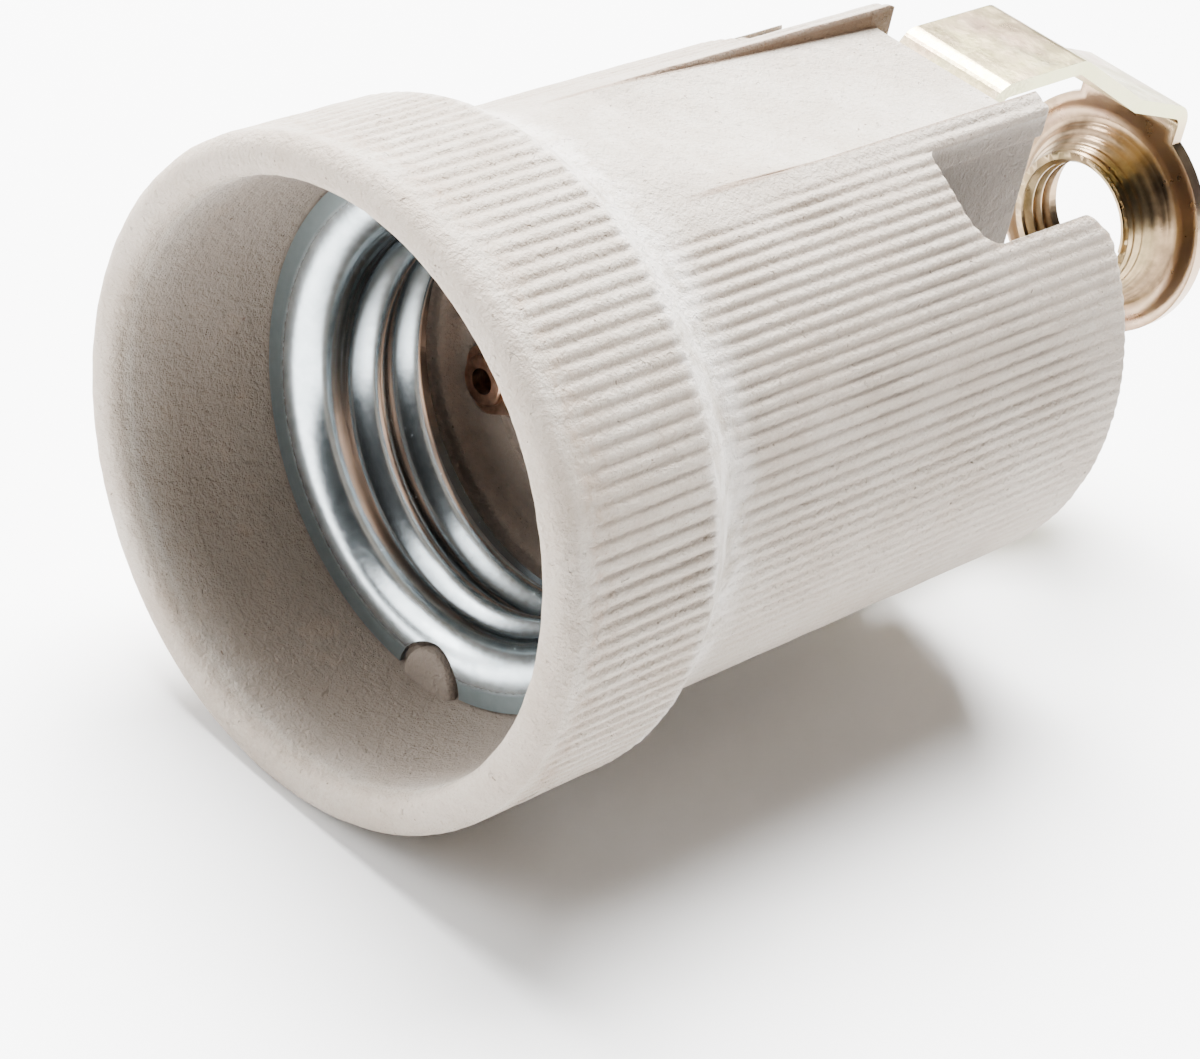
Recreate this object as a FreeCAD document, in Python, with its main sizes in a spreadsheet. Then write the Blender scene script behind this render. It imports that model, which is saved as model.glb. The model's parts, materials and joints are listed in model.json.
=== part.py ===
"""Porcelain screw-socket lamp holder with a bent steel mounting bracket, in millimetres.

The holder lies on its side with its axis along +Y, its mouth towards -Y and +Z up. The
origin is under the middle of the whole part, on the surface that the collar rests on.
Every depth in the sizes is measured along the axis from the plane of the mouth.
"""
import FreeCAD, Part
import math
import os

import Sketcher

SIZES = [
    # porcelain, outside
    ("rim_wall", 2.6),
    ("collar_length", 11.8),
    ("shoulder_length", 3.4),
    ("shoulder_step", 2.35),
    ("body_length", 52.8),
    ("rim_round", 1.3),
    ("rim_inner_round", 0.9),
    ("shoulder_round", 1.6),
    ("back_round", 0.7),
    # porcelain, socket side
    ("bore_taper", 1.45),
    ("flange_seat", 11.8),
    ("seat_lip_depth", 1.8),
    ("cavity_play", 0.65),
    ("cavity_room", 1.2),
    ("floor_radius", 13.2),
    ("floor_step", 2.0),
    ("key_radius", 2.3),
    ("key_inset", 0.15),
    ("key_angle", 5.9),
    ("key_height", 0.9),
    # porcelain, terminal side
    ("wall", 2.1),
    ("partition_half", 7.5),
    ("chamber_depth", 12.8),
    ("chamber_round", 1.0),
    ("notch_ledge", 0.3),
    ("notch_width", 5.8),
    ("notch_outer_round", 1.8),
    ("notch_inner_round", 0.8),
    ("slot_half", 6.2),
    ("slot_depth", 2.6),
    ("slot_runout", 5.5),
    ("slot_runout_depth", 0.95),
    ("foot_recess", 1.8),
    # screw shell
    ("sheet", 0.35),
    ("shell_play", 0.2),
    ("flange_width", 2.05),
    ("lip_width", 1.9),
    ("thread_root", 13.3),
    ("thread_height", 1.15),
    ("thread_pitch", 3.63),
    ("crest_lead", 2.8),
    ("thread_round", 0.7),
    ("shell_length", 9.5),
    ("key_play", 0.45),
    ("notch_cut", 2.8),
    ("tab_width", 5.0),
    ("tab_play", 0.3),
    ("tab_lap", 2.0),
    # contacts
    ("contact_sheet", 0.5),
    ("contact_width", 4.6),
    ("contact_lap", 1.7),
    ("contact_heel", 8.2),
    ("contact_rise", 6.9),
    ("contact_crown", 2.2),
    ("contact_round", 1.5),
    ("rivet_gap", 0.33),
    ("rivet_angle", 27.0),
    ("rivet_radius", 1.5),
    ("rivet_bore", 0.9),
    ("rivet_head", 1.75),
    ("rivet_flange", 0.45),
    ("rivet_play", 0.1),
    # terminals
    ("plate_sheet", 1.2),
    ("plate_gap", 0.4),
    ("plate_width", 6.2),
    ("plate_half_length", 7.2),
    ("clamp_offset", 3.7),
    ("clamp_z", 4.0),
    ("clamp_half", 3.0),
    ("clamp_sheet", 0.9),
    ("clamp_play", 0.05),
    ("screw_radius", 1.75),
    ("screw_length", 7.5),
    ("screw_tip", 0.5),
    ("screw_well_play", 0.55),
    ("screw_well_room", 1.2),
    ("head_radius", 2.9),
    ("head_height", 2.0),
    ("head_round", 0.5),
    ("driver_slot_width", 0.9),
    ("driver_slot_depth", 1.1),
    # bracket
    ("strap_width", 8.5),
    ("strap_sheet", 1.0),
    ("leg_sink", 1.8),
    ("leg_length", 9.5),
    ("slope_angle", 31.0),
    ("slope_length", 8.0),
    ("joggle_angle", 18.0),
    ("run_length", 6.5),
    ("disc_radius", 8.8),
    ("collar_base_radius", 6.6),
    ("collar_tip_radius", 6.1),
    ("collar_height", 3.0),
    ("tube_bore_radius", 4.5),
    ("bend_radius", 0.8),
    ("foot_end", 5.2),
    # bracket fasteners
    ("bolt_offset", 9.0),
    ("bolt_radius", 1.75),
    ("bolt_play", 0.2),
    ("bolt_head_radius", 3.1),
    ("bolt_head_height", 2.1),
    ("lock_washer_height", 0.8),
    ("nut_across_flats", 6.0),
    ("nut_height", 2.8),
    ("nut_play", 0.15),
    ("bolt_tip_room", 0.5),
]

# places that follow from the sizes, in the order in which they build on each other
WORKED_OUT = [
    ("thread_crest", "Sizes.thread_root - Sizes.thread_height"),
    ("shell_corner_radius", "Sizes.thread_root + Sizes.lip_width"),
    ("shell_flange_radius", "shell_corner_radius + Sizes.flange_width"),
    ("seat_bore_radius", "shell_flange_radius + Sizes.shell_play"),
    ("mouth_bore_radius", "seat_bore_radius + Sizes.bore_taper"),
    ("mouth_radius", "mouth_bore_radius + Sizes.rim_wall"),
    ("tail_radius", "mouth_radius - Sizes.shoulder_step"),
    ("first_crest", "Sizes.flange_seat + Sizes.crest_lead"),
    ("shell_depth", "Sizes.flange_seat + Sizes.shell_length"),
    ("cavity_depth", "shell_depth + Sizes.cavity_room"),
    ("shoulder_end", "Sizes.collar_length + Sizes.shoulder_length"),
    ("floor_depth", "cavity_depth + Sizes.floor_step"),
    ("chamber_floor", "Sizes.body_length - Sizes.chamber_depth"),
    ("chamber_radius", "tail_radius - Sizes.wall"),
    ("foot_seat", "Sizes.body_length - Sizes.foot_recess"),
    ("cavity_radius", "Sizes.thread_root + Sizes.sheet + Sizes.cavity_play"),
    ("seat_lip_radius", "shell_corner_radius + Sizes.sheet + Sizes.clamp_play"),
    ("seat_lip_end", "Sizes.flange_seat + Sizes.seat_lip_depth"),
    ("shell_front", "Sizes.flange_seat - Sizes.sheet"),
    ("key_offset", "seat_bore_radius - Sizes.key_inset"),
    ("key_x", "key_offset * sin(Sizes.key_angle * 1 deg)"),
    ("key_z", "-key_offset * cos(Sizes.key_angle * 1 deg)"),
    ("notch_inner", "Sizes.partition_half + Sizes.notch_ledge"),
    ("notch_outer", "notch_inner + Sizes.notch_width"),
    ("notch_front", "chamber_floor + Sizes.notch_ledge"),
    ("slot_floor", "tail_radius - Sizes.slot_depth"),
    ("leg_height", "tail_radius - Sizes.leg_sink"),
    ("knee_depth", "foot_seat + Sizes.leg_length"),
    ("joggle_depth", "knee_depth + Sizes.slope_length"),
    ("rivet_reach", "(Sizes.partition_half + Sizes.rivet_head + Sizes.rivet_gap)"
                    " / cos(Sizes.rivet_angle * 1 deg)"),
    ("clamp_x", "Sizes.partition_half + Sizes.clamp_offset"),
    ("contact_end", "rivet_reach + Sizes.contact_lap"),
    ("contact_height", "floor_depth - Sizes.contact_rise"),
    ("tab_end", "rivet_reach - Sizes.tab_lap"),
    ("tab_radius", "Sizes.floor_radius - Sizes.tab_play"),
    ("rivet_hole_radius", "Sizes.rivet_radius + Sizes.rivet_play"),
    ("plate_back", "chamber_floor + Sizes.plate_sheet"),
    ("clamp_seat", "plate_back + Sizes.clamp_play"),
    ("screw_seat", "clamp_seat + Sizes.clamp_sheet + Sizes.clamp_play"),
    ("screw_well_end", "screw_seat - Sizes.screw_length - Sizes.screw_well_room"),
    ("bolt_hole_radius", "Sizes.bolt_radius + Sizes.bolt_play"),
    ("overall_length", "joggle_depth + Sizes.run_length"),
    ("foot_back", "foot_seat + Sizes.strap_sheet"),
    ("plate_front", "overall_length - Sizes.strap_sheet"),
    ("collar_tip", "plate_front - Sizes.collar_height"),
]

DOCUMENT = FreeCAD.newDocument("lamp_holder")
SHEET = DOCUMENT.addObject("Spreadsheet::Sheet", "Sizes")
PLACES = DOCUMENT.addObject("App::VarSet", "Places")
PIECES = []
LEAST = 1e-6
SAME = 1e-4


def fill_sheet():
    """Write each size to a cell and name the cell."""
    for row, (alias, size) in enumerate(SIZES, start=1):
        SHEET.set("A%d" % row, alias)
        SHEET.set("B%d" % row, str(size))
        SHEET.setAlias("B%d" % row, alias)
    DOCUMENT.recompute()


def work_out_places():
    """Add a number for each place and tie it to the sizes that it follows from."""
    for name, expression in WORKED_OUT:
        PLACES.addProperty("App::PropertyFloat", name, "Places")
        PLACES.setExpression(name, expression)
    DOCUMENT.recompute()


def number(owner, expression):
    """Value of an expression on the sheet."""
    return float(owner.evalExpression(expression))


# ---------------------------------------------------------------- sketches

def origin_plane(body, role):
    """One of a body's own three planes."""
    return next(plane for plane in body.Origin.OriginFeatures if plane.Role == role)


def new_sketch(body, name, role, offset=None, turn=None):
    """Sketch on a plane of the body, moved along its normal or turned about its upright."""
    sketch = body.newObject("Sketcher::SketchObject", name)
    sketch.AttachmentSupport = [(origin_plane(body, role), "")]
    sketch.MapMode = "FlatFace"
    if turn is not None:
        sketch.AttachmentOffset = FreeCAD.Placement(
            FreeCAD.Vector(), FreeCAD.Rotation(FreeCAD.Vector(0, 1, 0), 1.0))
        sketch.setExpression(".AttachmentOffset.Rotation.Angle", turn)
    if offset is not None:
        sketch.setExpression(".AttachmentOffset.Base.z", offset)
    DOCUMENT.recompute()
    return sketch


def hold(sketch, geometry, point, place):
    """Tie one point of a sketch to a pair of expressions, measured from the origin."""
    for kind, axis, expression in (("DistanceX", -2, place[0]), ("DistanceY", -1, place[1])):
        distance = number(sketch, expression)
        if abs(distance) < LEAST:
            sketch.addConstraint(Sketcher.Constraint("PointOnObject", geometry, point, axis))
            continue
        index = sketch.addConstraint(
            Sketcher.Constraint(kind, -1, 1, geometry, point, distance))
        sketch.setExpression("Constraints[%d]" % index, expression)


def outline(sketch, places):
    """Close straight edges through places given as pairs of expressions."""
    spots = [FreeCAD.Vector(number(sketch, x), number(sketch, y), 0) for x, y in places]
    first = sketch.GeometryCount
    count = len(spots)
    edges = [Part.LineSegment(spots[i], spots[(i + 1) % count]) for i in range(count)]
    sketch.addGeometry(edges, False)
    joints = [
        Sketcher.Constraint("Coincident", first + i, 2, first + (i + 1) % count, 1)
        for i in range(count)]
    sketch.addConstraint(joints)
    for i, place in enumerate(places):
        hold(sketch, first + i, 1, place)
    return sketch


def box_outline(sketch, low_x, low_y, high_x, high_y):
    """Rectangle between two corners given as expressions."""
    return outline(sketch, [(low_x, low_y), (high_x, low_y), (high_x, high_y), (low_x, high_y)])


def circle(sketch, place, radius):
    """Circle about a place, all as expressions."""
    reach = number(sketch, radius)
    centre = FreeCAD.Vector(number(sketch, place[0]), number(sketch, place[1]), 0)
    index = sketch.addGeometry(Part.Circle(centre, FreeCAD.Vector(0, 0, 1), reach), False)
    hold(sketch, index, 3, place)
    ring = sketch.addConstraint(Sketcher.Constraint("Radius", index, reach))
    sketch.setExpression("Constraints[%d]" % ring, radius)
    return sketch


def hexagon(sketch, place, across_flats):
    """Regular hexagon about a place, with two flats upright."""
    x, y = place
    half = "(%s) / 2" % across_flats
    rise = "(%s) / 2 * tan(30 deg)" % across_flats
    point = "(%s) / 2 / cos(30 deg)" % across_flats
    corners = [(half, rise), ("0", point), ("-" + half, rise),
               ("-" + half, "-" + rise), ("0", "-" + point), (half, "-" + rise)]
    return outline(sketch, [("%s + %s" % (x, dx), "%s + %s" % (y, dy)) for dx, dy in corners])


# ---------------------------------------------------------------- features

def new_body(name):
    """A piece that stands on the holder's axis."""
    body = DOCUMENT.addObject("PartDesign::Body", name)
    body.Label = name
    body.setExpression(".Placement.Base.y", "-Places.overall_length / 2")
    body.setExpression(".Placement.Base.z", "Places.mouth_radius")
    PIECES.append(body)
    return body


def spin(body, sketch, name, kind="PartDesign::Revolution"):
    """Turn a sketch once about the body's Y axis."""
    feature = body.newObject(kind, name)
    feature.Profile = sketch
    feature.ReferenceAxis = (sketch, ["V_Axis"])
    feature.Angle = 360.0
    DOCUMENT.recompute()
    return feature


def extrude(body, sketch, name, length, kind="PartDesign::Pad", reverse=False, midplane=False):
    """Pad or pocket a sketch by a length given as an expression."""
    feature = body.newObject(kind, name)
    feature.Profile = sketch
    if midplane:
        feature.Midplane = True
    feature.Reversed = reverse
    feature.setExpression("Length", length)
    DOCUMENT.recompute()
    if feature.BaseFeature is not None:
        change = feature.Shape.Volume - feature.BaseFeature.Shape.Volume
        grows = kind == "PartDesign::Pad"
        if (change > 0) != grows or abs(change) < LEAST:
            raise RuntimeError("%s of %s changes nothing (%.3f)" % (name, body.Label, change))
    return feature


def pocket(body, sketch, name, length, reverse=False, midplane=False):
    """Cut a sketch into the body."""
    return extrude(body, sketch, name, length, "PartDesign::Pocket", reverse, midplane)


def fillet(body, name, radius, wanted):
    """Round the edges of the body's last feature that a test picks."""
    base = body.Tip
    names = ["Edge%d" % (i + 1) for i, edge in enumerate(base.Shape.Edges) if wanted(edge)]
    if not names:
        raise RuntimeError("%s of %s finds no edge" % (name, body.Label))
    feature = body.newObject("PartDesign::Fillet", name)
    feature.Base = (base, names)
    feature.setExpression("Radius", radius)
    DOCUMENT.recompute()
    return feature


def mirror(body, features, name, role):
    """Repeat features on the other side of one of the body's planes."""
    feature = body.newObject("PartDesign::Mirrored", name)
    feature.Originals = features
    feature.MirrorPlane = (origin_plane(body, role), [""])
    body.Tip = feature
    DOCUMENT.recompute()
    return feature


def size(name):
    """Number behind a size or a place."""
    if hasattr(PLACES, name):
        return float(getattr(PLACES, name))
    return float(SHEET.get(name))


def near(a, b):
    """Two lengths agree."""
    return abs(a - b) < SAME


def ring_edge(edge, radius, depth):
    """The edge is a circle about the axis, of this radius and at this depth."""
    if not isinstance(edge.Curve, Part.Circle):
        return False
    centre = edge.Curve.Center
    return near(edge.Curve.Radius, radius) and near(centre.y, depth) and near(centre.x, 0.0)


def along(edge, axis):
    """The edge is straight and runs along one of the axes."""
    if not isinstance(edge.Curve, Part.Line):
        return False
    direction = edge.Curve.Direction
    return near(abs(getattr(direction, axis)), 1.0)


# ---------------------------------------------------------------- porcelain body

def porcelain_profile(body):
    """Half section of the pressed porcelain, before anything is cut into its back."""
    sketch = new_sketch(body, "porcelain_profile", "XY_Plane")
    outline(sketch, [
        ("Places.mouth_bore_radius", "0"),
        ("Places.mouth_radius", "0"),
        ("Places.mouth_radius", "Sizes.collar_length"),
        ("Places.tail_radius", "Places.shoulder_end"),
        ("Places.tail_radius", "Sizes.body_length"),
        ("0", "Sizes.body_length"),
        ("0", "Places.floor_depth"),
        ("Sizes.floor_radius", "Places.floor_depth"),
        ("Sizes.floor_radius", "Places.cavity_depth"),
        ("Places.cavity_radius", "Places.cavity_depth"),
        ("Places.cavity_radius", "Places.seat_lip_end"),
        ("Places.seat_lip_radius", "Sizes.flange_seat"),
        ("Places.seat_bore_radius", "Sizes.flange_seat"),
    ])
    spin(body, sketch, "porcelain_blank")
    fillet(body, "rim_outer", "Sizes.rim_round",
           lambda edge: ring_edge(edge, size("mouth_radius"), 0.0))
    fillet(body, "rim_inner", "Sizes.rim_inner_round",
           lambda edge: ring_edge(edge, size("mouth_bore_radius"), 0.0))
    fillet(body, "shoulder_crest", "Sizes.shoulder_round",
           lambda edge: ring_edge(edge, size("mouth_radius"), size("collar_length")))
    fillet(body, "shoulder_foot", "Sizes.shoulder_round",
           lambda edge: ring_edge(edge, size("tail_radius"), size("shoulder_end")))
    fillet(body, "back_edge", "Sizes.back_round",
           lambda edge: ring_edge(edge, size("tail_radius"), size("body_length")))


def d_outline(sketch, chord, radius):
    """Region of a circle about the axis that lies beyond an upright chord."""
    x = number(sketch, chord)
    r = number(sketch, radius)
    z = math.sqrt(r * r - x * x)
    low = FreeCAD.Vector(x, -z, 0)
    high = FreeCAD.Vector(x, z, 0)
    bow = math.atan2(z, x)
    arc = Part.ArcOfCircle(Part.Circle(FreeCAD.Vector(), FreeCAD.Vector(0, 0, 1), r), -bow, bow)
    sketch.addGeometry([arc, Part.LineSegment(high, low)], False)
    sketch.addConstraint([
        Sketcher.Constraint("Coincident", 0, 3, -1, 1),
        Sketcher.Constraint("Coincident", 0, 2, 1, 1),
        Sketcher.Constraint("Coincident", 1, 2, 0, 1),
        Sketcher.Constraint("Vertical", 1),
    ])
    across = sketch.addConstraint(Sketcher.Constraint("DistanceX", -1, 1, 1, 1, x))
    sketch.setExpression("Constraints[%d]" % across, chord)
    ring = sketch.addConstraint(Sketcher.Constraint("Radius", 0, r))
    sketch.setExpression("Constraints[%d]" % ring, radius)
    return sketch


def porcelain_chambers(body):
    """Two terminal chambers, each with a wire notch through the wall above it."""
    chamber = new_sketch(body, "chamber_outline", "XZ_Plane", "-Sizes.body_length")
    d_outline(chamber, "Sizes.partition_half", "Places.chamber_radius")
    chamber_cut = pocket(body, chamber, "terminal_chamber", "Sizes.chamber_depth",
                         reverse=True)
    notch = new_sketch(body, "notch_outline", "XY_Plane")
    box_outline(notch, "Places.notch_inner", "Places.notch_front",
                "Places.notch_outer", "Sizes.body_length + Sizes.wall")
    notch_cut = pocket(body, notch, "wire_notch", "Places.mouth_radius", reverse=True)
    well = new_sketch(body, "screw_well_outline", "XZ_Plane", "-Places.chamber_floor")
    circle(well, ("Places.clamp_x", "Sizes.clamp_z"),
           "Sizes.screw_radius + Sizes.screw_well_play")
    well_cut = pocket(body, well, "screw_well",
                      "Places.chamber_floor - Places.screw_well_end", reverse=True)
    rivet = new_sketch(body, "rivet_hole_outline", "XZ_Plane", "-Places.chamber_floor")
    circle(rivet, rivet_place(1), "Places.rivet_hole_radius")
    rivet_cut = pocket(body, rivet, "rivet_hole",
                       "Places.chamber_floor - Places.floor_depth", reverse=True)
    mirror(body, [chamber_cut, notch_cut, well_cut, rivet_cut], "other_chamber", "YZ_Plane")
    fillet(body, "notch_outer_corners", "Sizes.notch_outer_round",
           lambda edge: notch_corner(edge, size("notch_outer")))
    fillet(body, "notch_inner_corners", "Sizes.notch_inner_round",
           lambda edge: notch_corner(edge, size("notch_inner")))
    fillet(body, "chamber_corners", "Sizes.chamber_round",
           lambda edge: along(edge, "y") and edge.CenterOfMass.z < 0
           and near(abs(edge.CenterOfMass.x), size("partition_half")))


def notch_corner(edge, reach):
    """The edge is a front corner of a wire notch, at this distance from the middle."""
    middle = edge.CenterOfMass
    return along(edge, "z") and near(middle.y, size("notch_front")) and near(abs(middle.x), reach)


def porcelain_strap_seats(body):
    """Sloping slot, foot seat, bolt hole and nut pocket for each leg of the bracket."""
    slot = new_sketch(body, "slot_outline", "YZ_Plane")
    start = "Places.shoulder_end + Sizes.shoulder_round"
    above = "Places.mouth_radius + Sizes.wall"
    behind = "Sizes.body_length + Sizes.wall"
    outline(slot, [
        (start, "Places.tail_radius"),
        (start, above),
        (behind, above),
        (behind, "Places.slot_floor"),
        ("Sizes.body_length", "Places.slot_floor"),
        (start + " + Sizes.slot_runout", "Places.tail_radius - Sizes.slot_runout_depth"),
    ])
    slot_cut = pocket(body, slot, "strap_slot", "2 * Sizes.slot_half", midplane=True)
    seat = new_sketch(body, "foot_seat_outline", "YZ_Plane")
    box_outline(seat, "Places.foot_seat", "Sizes.foot_end - Sizes.strap_sheet",
                "Sizes.body_length + Sizes.wall", "Places.mouth_radius")
    seat_cut = pocket(body, seat, "foot_seat_cut", "2 * Sizes.slot_half", midplane=True)
    hole = new_sketch(body, "bolt_hole_outline", "XZ_Plane", "-Places.foot_seat")
    circle(hole, ("0", "Sizes.bolt_offset"), "Places.bolt_hole_radius")
    hole_cut = pocket(body, hole, "bolt_hole", "Places.foot_seat - Places.floor_depth",
                      reverse=True)
    nut = new_sketch(body, "nut_pocket_outline", "XZ_Plane", "-Places.floor_depth")
    hexagon(nut, ("0", "Sizes.bolt_offset"), "Sizes.nut_across_flats + 2 * Sizes.nut_play")
    nut_cut = pocket(body, nut, "nut_pocket", "Sizes.nut_height + Sizes.nut_play")
    mirror(body, [slot_cut, seat_cut, hole_cut, nut_cut], "other_strap_seat", "XY_Plane")


def porcelain_key(body):
    """Half-round key on the flange seat, which stops the screw shell from turning."""
    key = new_sketch(body, "key_outline", "XZ_Plane", "-Sizes.flange_seat")
    circle(key, ("Places.key_x", "Places.key_z"), "Sizes.key_radius")
    extrude(body, key, "shell_key", "Sizes.key_height")


def porcelain_body():
    """Pressed porcelain body: collar, shoulder, tail, socket and terminal chambers."""
    body = new_body("porcelain_body")
    porcelain_profile(body)
    porcelain_key(body)
    porcelain_chambers(body)
    porcelain_strap_seats(body)


# ---------------------------------------------------------------- screw shell

def shell_profile(body):
    """Rolled sheet: flat flange, rounded lip and the corrugations that hold the lamp cap."""
    sketch = new_sketch(body, "shell_profile", "XY_Plane")
    inner = [
        ("Places.shell_corner_radius", "Places.shell_front"),
        ("Sizes.thread_root", "Places.first_crest - Sizes.thread_pitch / 2"),
    ]
    turns = int((size("shell_depth") - size("first_crest")) / size("thread_pitch"))
    for turn in range(turns):
        row = "Places.first_crest + %d * Sizes.thread_pitch" % turn
        inner.append(("Places.thread_crest", row))
        inner.append(("Sizes.thread_root", row + " + Sizes.thread_pitch / 2"))
    inner.append(("Sizes.thread_root", "Places.shell_depth"))
    flank = "cos(atan((Sizes.thread_root - Places.thread_crest) / Sizes.thread_pitch * 2))"
    thick = "Sizes.sheet / %s" % flank
    outer = [("%s + %s" % (x, thick), y) for x, y in inner[1:]]
    places = [("Places.shell_flange_radius", "Places.shell_front")] + inner + outer[::-1]
    places.append(("Places.shell_corner_radius + Sizes.sheet", "Sizes.flange_seat"))
    places.append(("Places.shell_flange_radius", "Sizes.flange_seat"))
    outline(sketch, places)
    spin(body, sketch, "shell_blank")


def shell_tab(body):
    """Tab from the back of the shell along the socket floor to its rivet."""
    tab = new_sketch(body, "tab_profile", "XY_Plane", turn="Sizes.rivet_angle")
    rise = "Places.floor_depth - 2 * Sizes.thread_round - Sizes.sheet"
    start = "Places.shell_depth - 2 * Sizes.sheet"
    outline(tab, [
        ("Sizes.thread_root + Sizes.sheet", start),
        ("Places.tab_radius", rise),
        ("Places.tab_radius", "Places.floor_depth"),
        ("Places.tab_end", "Places.floor_depth"),
        ("Places.tab_end", "Places.floor_depth - Sizes.sheet"),
        ("Places.tab_radius - Sizes.sheet", "Places.floor_depth - Sizes.sheet"),
        ("Places.tab_radius - Sizes.sheet", rise),
        ("Sizes.thread_root", start),
    ])
    extrude(body, tab, "shell_tab", "Sizes.tab_width", midplane=True)


def screw_shell():
    """Zinc-plated screw shell with its key notch and the tab that reaches its rivet."""
    body = new_body("screw_shell")
    shell_profile(body)
    fillet(body, "rolled_edges", "Sizes.thread_round",
           lambda edge: isinstance(edge.Curve, Part.Circle)
           and size("flange_seat") < edge.Curve.Center.y < size("shell_depth") - size("sheet")
           and edge.Curve.Radius < size("shell_corner_radius"))
    fillet(body, "flange_lip", "Sizes.thread_round",
           lambda edge: ring_edge(edge, size("shell_corner_radius"), size("shell_front")))
    notch = new_sketch(body, "shell_notch_outline", "XZ_Plane", "-Sizes.flange_seat")
    circle(notch, ("Places.key_x", "Places.key_z"), "Sizes.key_radius + Sizes.key_play")
    pocket(body, notch, "shell_notch", "Sizes.notch_cut", midplane=True)
    shell_tab(body)
    hole = new_sketch(body, "tab_hole_outline", "XZ_Plane", "-Places.floor_depth")
    circle(hole, rivet_place(1), "Places.rivet_hole_radius")
    pocket(body, hole, "tab_hole", "Sizes.sheet", reverse=True)


# ---------------------------------------------------------------- contacts and rivets

def rivet_place(side):
    """Where a rivet crosses the socket floor: side is 1 for the shell, -1 for the contact."""
    return ("%d * Places.rivet_reach * cos(Sizes.rivet_angle * 1 deg)" % side,
            "-Places.rivet_reach * sin(Sizes.rivet_angle * 1 deg)")


def contact_bend(edge):
    """The edge crosses the tongue where it leaves the floor or turns level again."""
    span = (size("contact_sheet") - size("contact_end"), size("contact_crown") - size("contact_sheet"))
    return along(edge, "z") and span[0] < edge.CenterOfMass.x < span[1]


def centre_contact():
    """Copper tongue that lies on the socket floor and springs up to the axis."""
    body = new_body("centre_contact")
    body.Placement.Rotation = FreeCAD.Rotation(FreeCAD.Vector(0, -1, 0), 1.0)
    body.setExpression(".Placement.Rotation.Angle", "Sizes.rivet_angle")
    side = new_sketch(body, "contact_profile", "XY_Plane")
    thick = "Sizes.contact_sheet"
    lean = "atan((Places.floor_depth - Places.contact_height) / Sizes.contact_heel) / 2"
    step = thick + " * tan(%s)" % lean
    outline(side, [
        ("-Places.contact_end", "Places.floor_depth"),
        ("-Places.contact_end", "Places.floor_depth - " + thick),
        ("-Sizes.contact_heel - " + step, "Places.floor_depth - " + thick),
        ("-" + step, "Places.contact_height - " + thick),
        ("Sizes.contact_crown", "Places.contact_height - " + thick),
        ("Sizes.contact_crown", "Places.contact_height"),
        ("0", "Places.contact_height"),
        ("-Sizes.contact_heel", "Places.floor_depth"),
    ])
    extrude(body, side, "contact_strip", "Sizes.contact_width", midplane=True)
    fillet(body, "contact_corners", "Sizes.contact_round",
           lambda edge: along(edge, "y"))
    fillet(body, "contact_bends", "Sizes.contact_sheet", contact_bend)
    hole = new_sketch(body, "contact_hole_outline", "XZ_Plane", "-Places.floor_depth")
    circle(hole, ("-Places.rivet_reach", "0"), "Places.rivet_hole_radius")
    pocket(body, hole, "contact_hole", "Sizes.contact_sheet", reverse=True)


def rivet(name, side, sheet):
    """Tubular rivet through the socket floor, closed over a terminal plate."""
    body = new_body(name)
    x, z = rivet_place(side)
    body.setExpression(".Placement.Base.x", x)
    body.setExpression(".Placement.Base.z", "Places.mouth_radius + " + z)
    front = "Places.floor_depth - " + sheet
    back = "Places.plate_back"
    section = new_sketch(body, name + "_profile", "XY_Plane")
    outline(section, [
        ("Sizes.rivet_bore", front + " - Sizes.rivet_flange"),
        ("Sizes.rivet_head", front + " - Sizes.rivet_flange"),
        ("Sizes.rivet_head", front),
        ("Sizes.rivet_radius", front),
        ("Sizes.rivet_radius", back),
        ("Sizes.rivet_head", back),
        ("Sizes.rivet_head", back + " + Sizes.rivet_flange"),
        ("Sizes.rivet_bore", back + " + Sizes.rivet_flange"),
    ])
    spin(body, section, name + "_tube")
    fillet(body, name + "_heads", "Sizes.rivet_flange / 2",
           lambda edge: isinstance(edge.Curve, Part.Circle)
           and near(edge.Curve.Radius, size("rivet_head"))
           and not near(edge.Curve.Center.y, number(body, front))
           and not near(edge.Curve.Center.y, number(body, back)))


# ---------------------------------------------------------------- terminals

def terminal_plate(name, side):
    """Brass plate on a chamber floor, riveted below and tapped for its screw above."""
    body = new_body(name)
    flat = new_sketch(body, name + "_outline", "XZ_Plane", "-Places.chamber_floor")
    inner = "%d * (Sizes.partition_half + Sizes.plate_gap)" % side
    outer = "%d * (Sizes.partition_half + Sizes.plate_gap + Sizes.plate_width)" % side
    box_outline(flat, inner, "-Sizes.plate_half_length", outer, "Sizes.plate_half_length")
    circle(flat, rivet_place(side), "Places.rivet_hole_radius")
    circle(flat, ("%d * Places.clamp_x" % side, "Sizes.clamp_z"),
           "Sizes.screw_radius + Sizes.clamp_play")
    extrude(body, flat, name + "_pad", "Sizes.plate_sheet", reverse=True)
    fillet(body, name + "_corners", "Sizes.plate_sheet", lambda edge: along(edge, "y"))


def clamp_washer(name, side):
    """Square clamping washer under the head of a terminal screw."""
    body = new_body(name)
    flat = new_sketch(body, name + "_outline", "XZ_Plane", "-Places.clamp_seat")
    x = "%d * Places.clamp_x" % side
    box_outline(flat, x + " - Sizes.clamp_half", "Sizes.clamp_z - Sizes.clamp_half",
                x + " + Sizes.clamp_half", "Sizes.clamp_z + Sizes.clamp_half")
    circle(flat, (x, "Sizes.clamp_z"), "Sizes.screw_radius + Sizes.clamp_play")
    extrude(body, flat, name + "_pad", "Sizes.clamp_sheet", reverse=True)
    fillet(body, name + "_corners", "Sizes.clamp_sheet / 2", lambda edge: along(edge, "y"))


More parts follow.
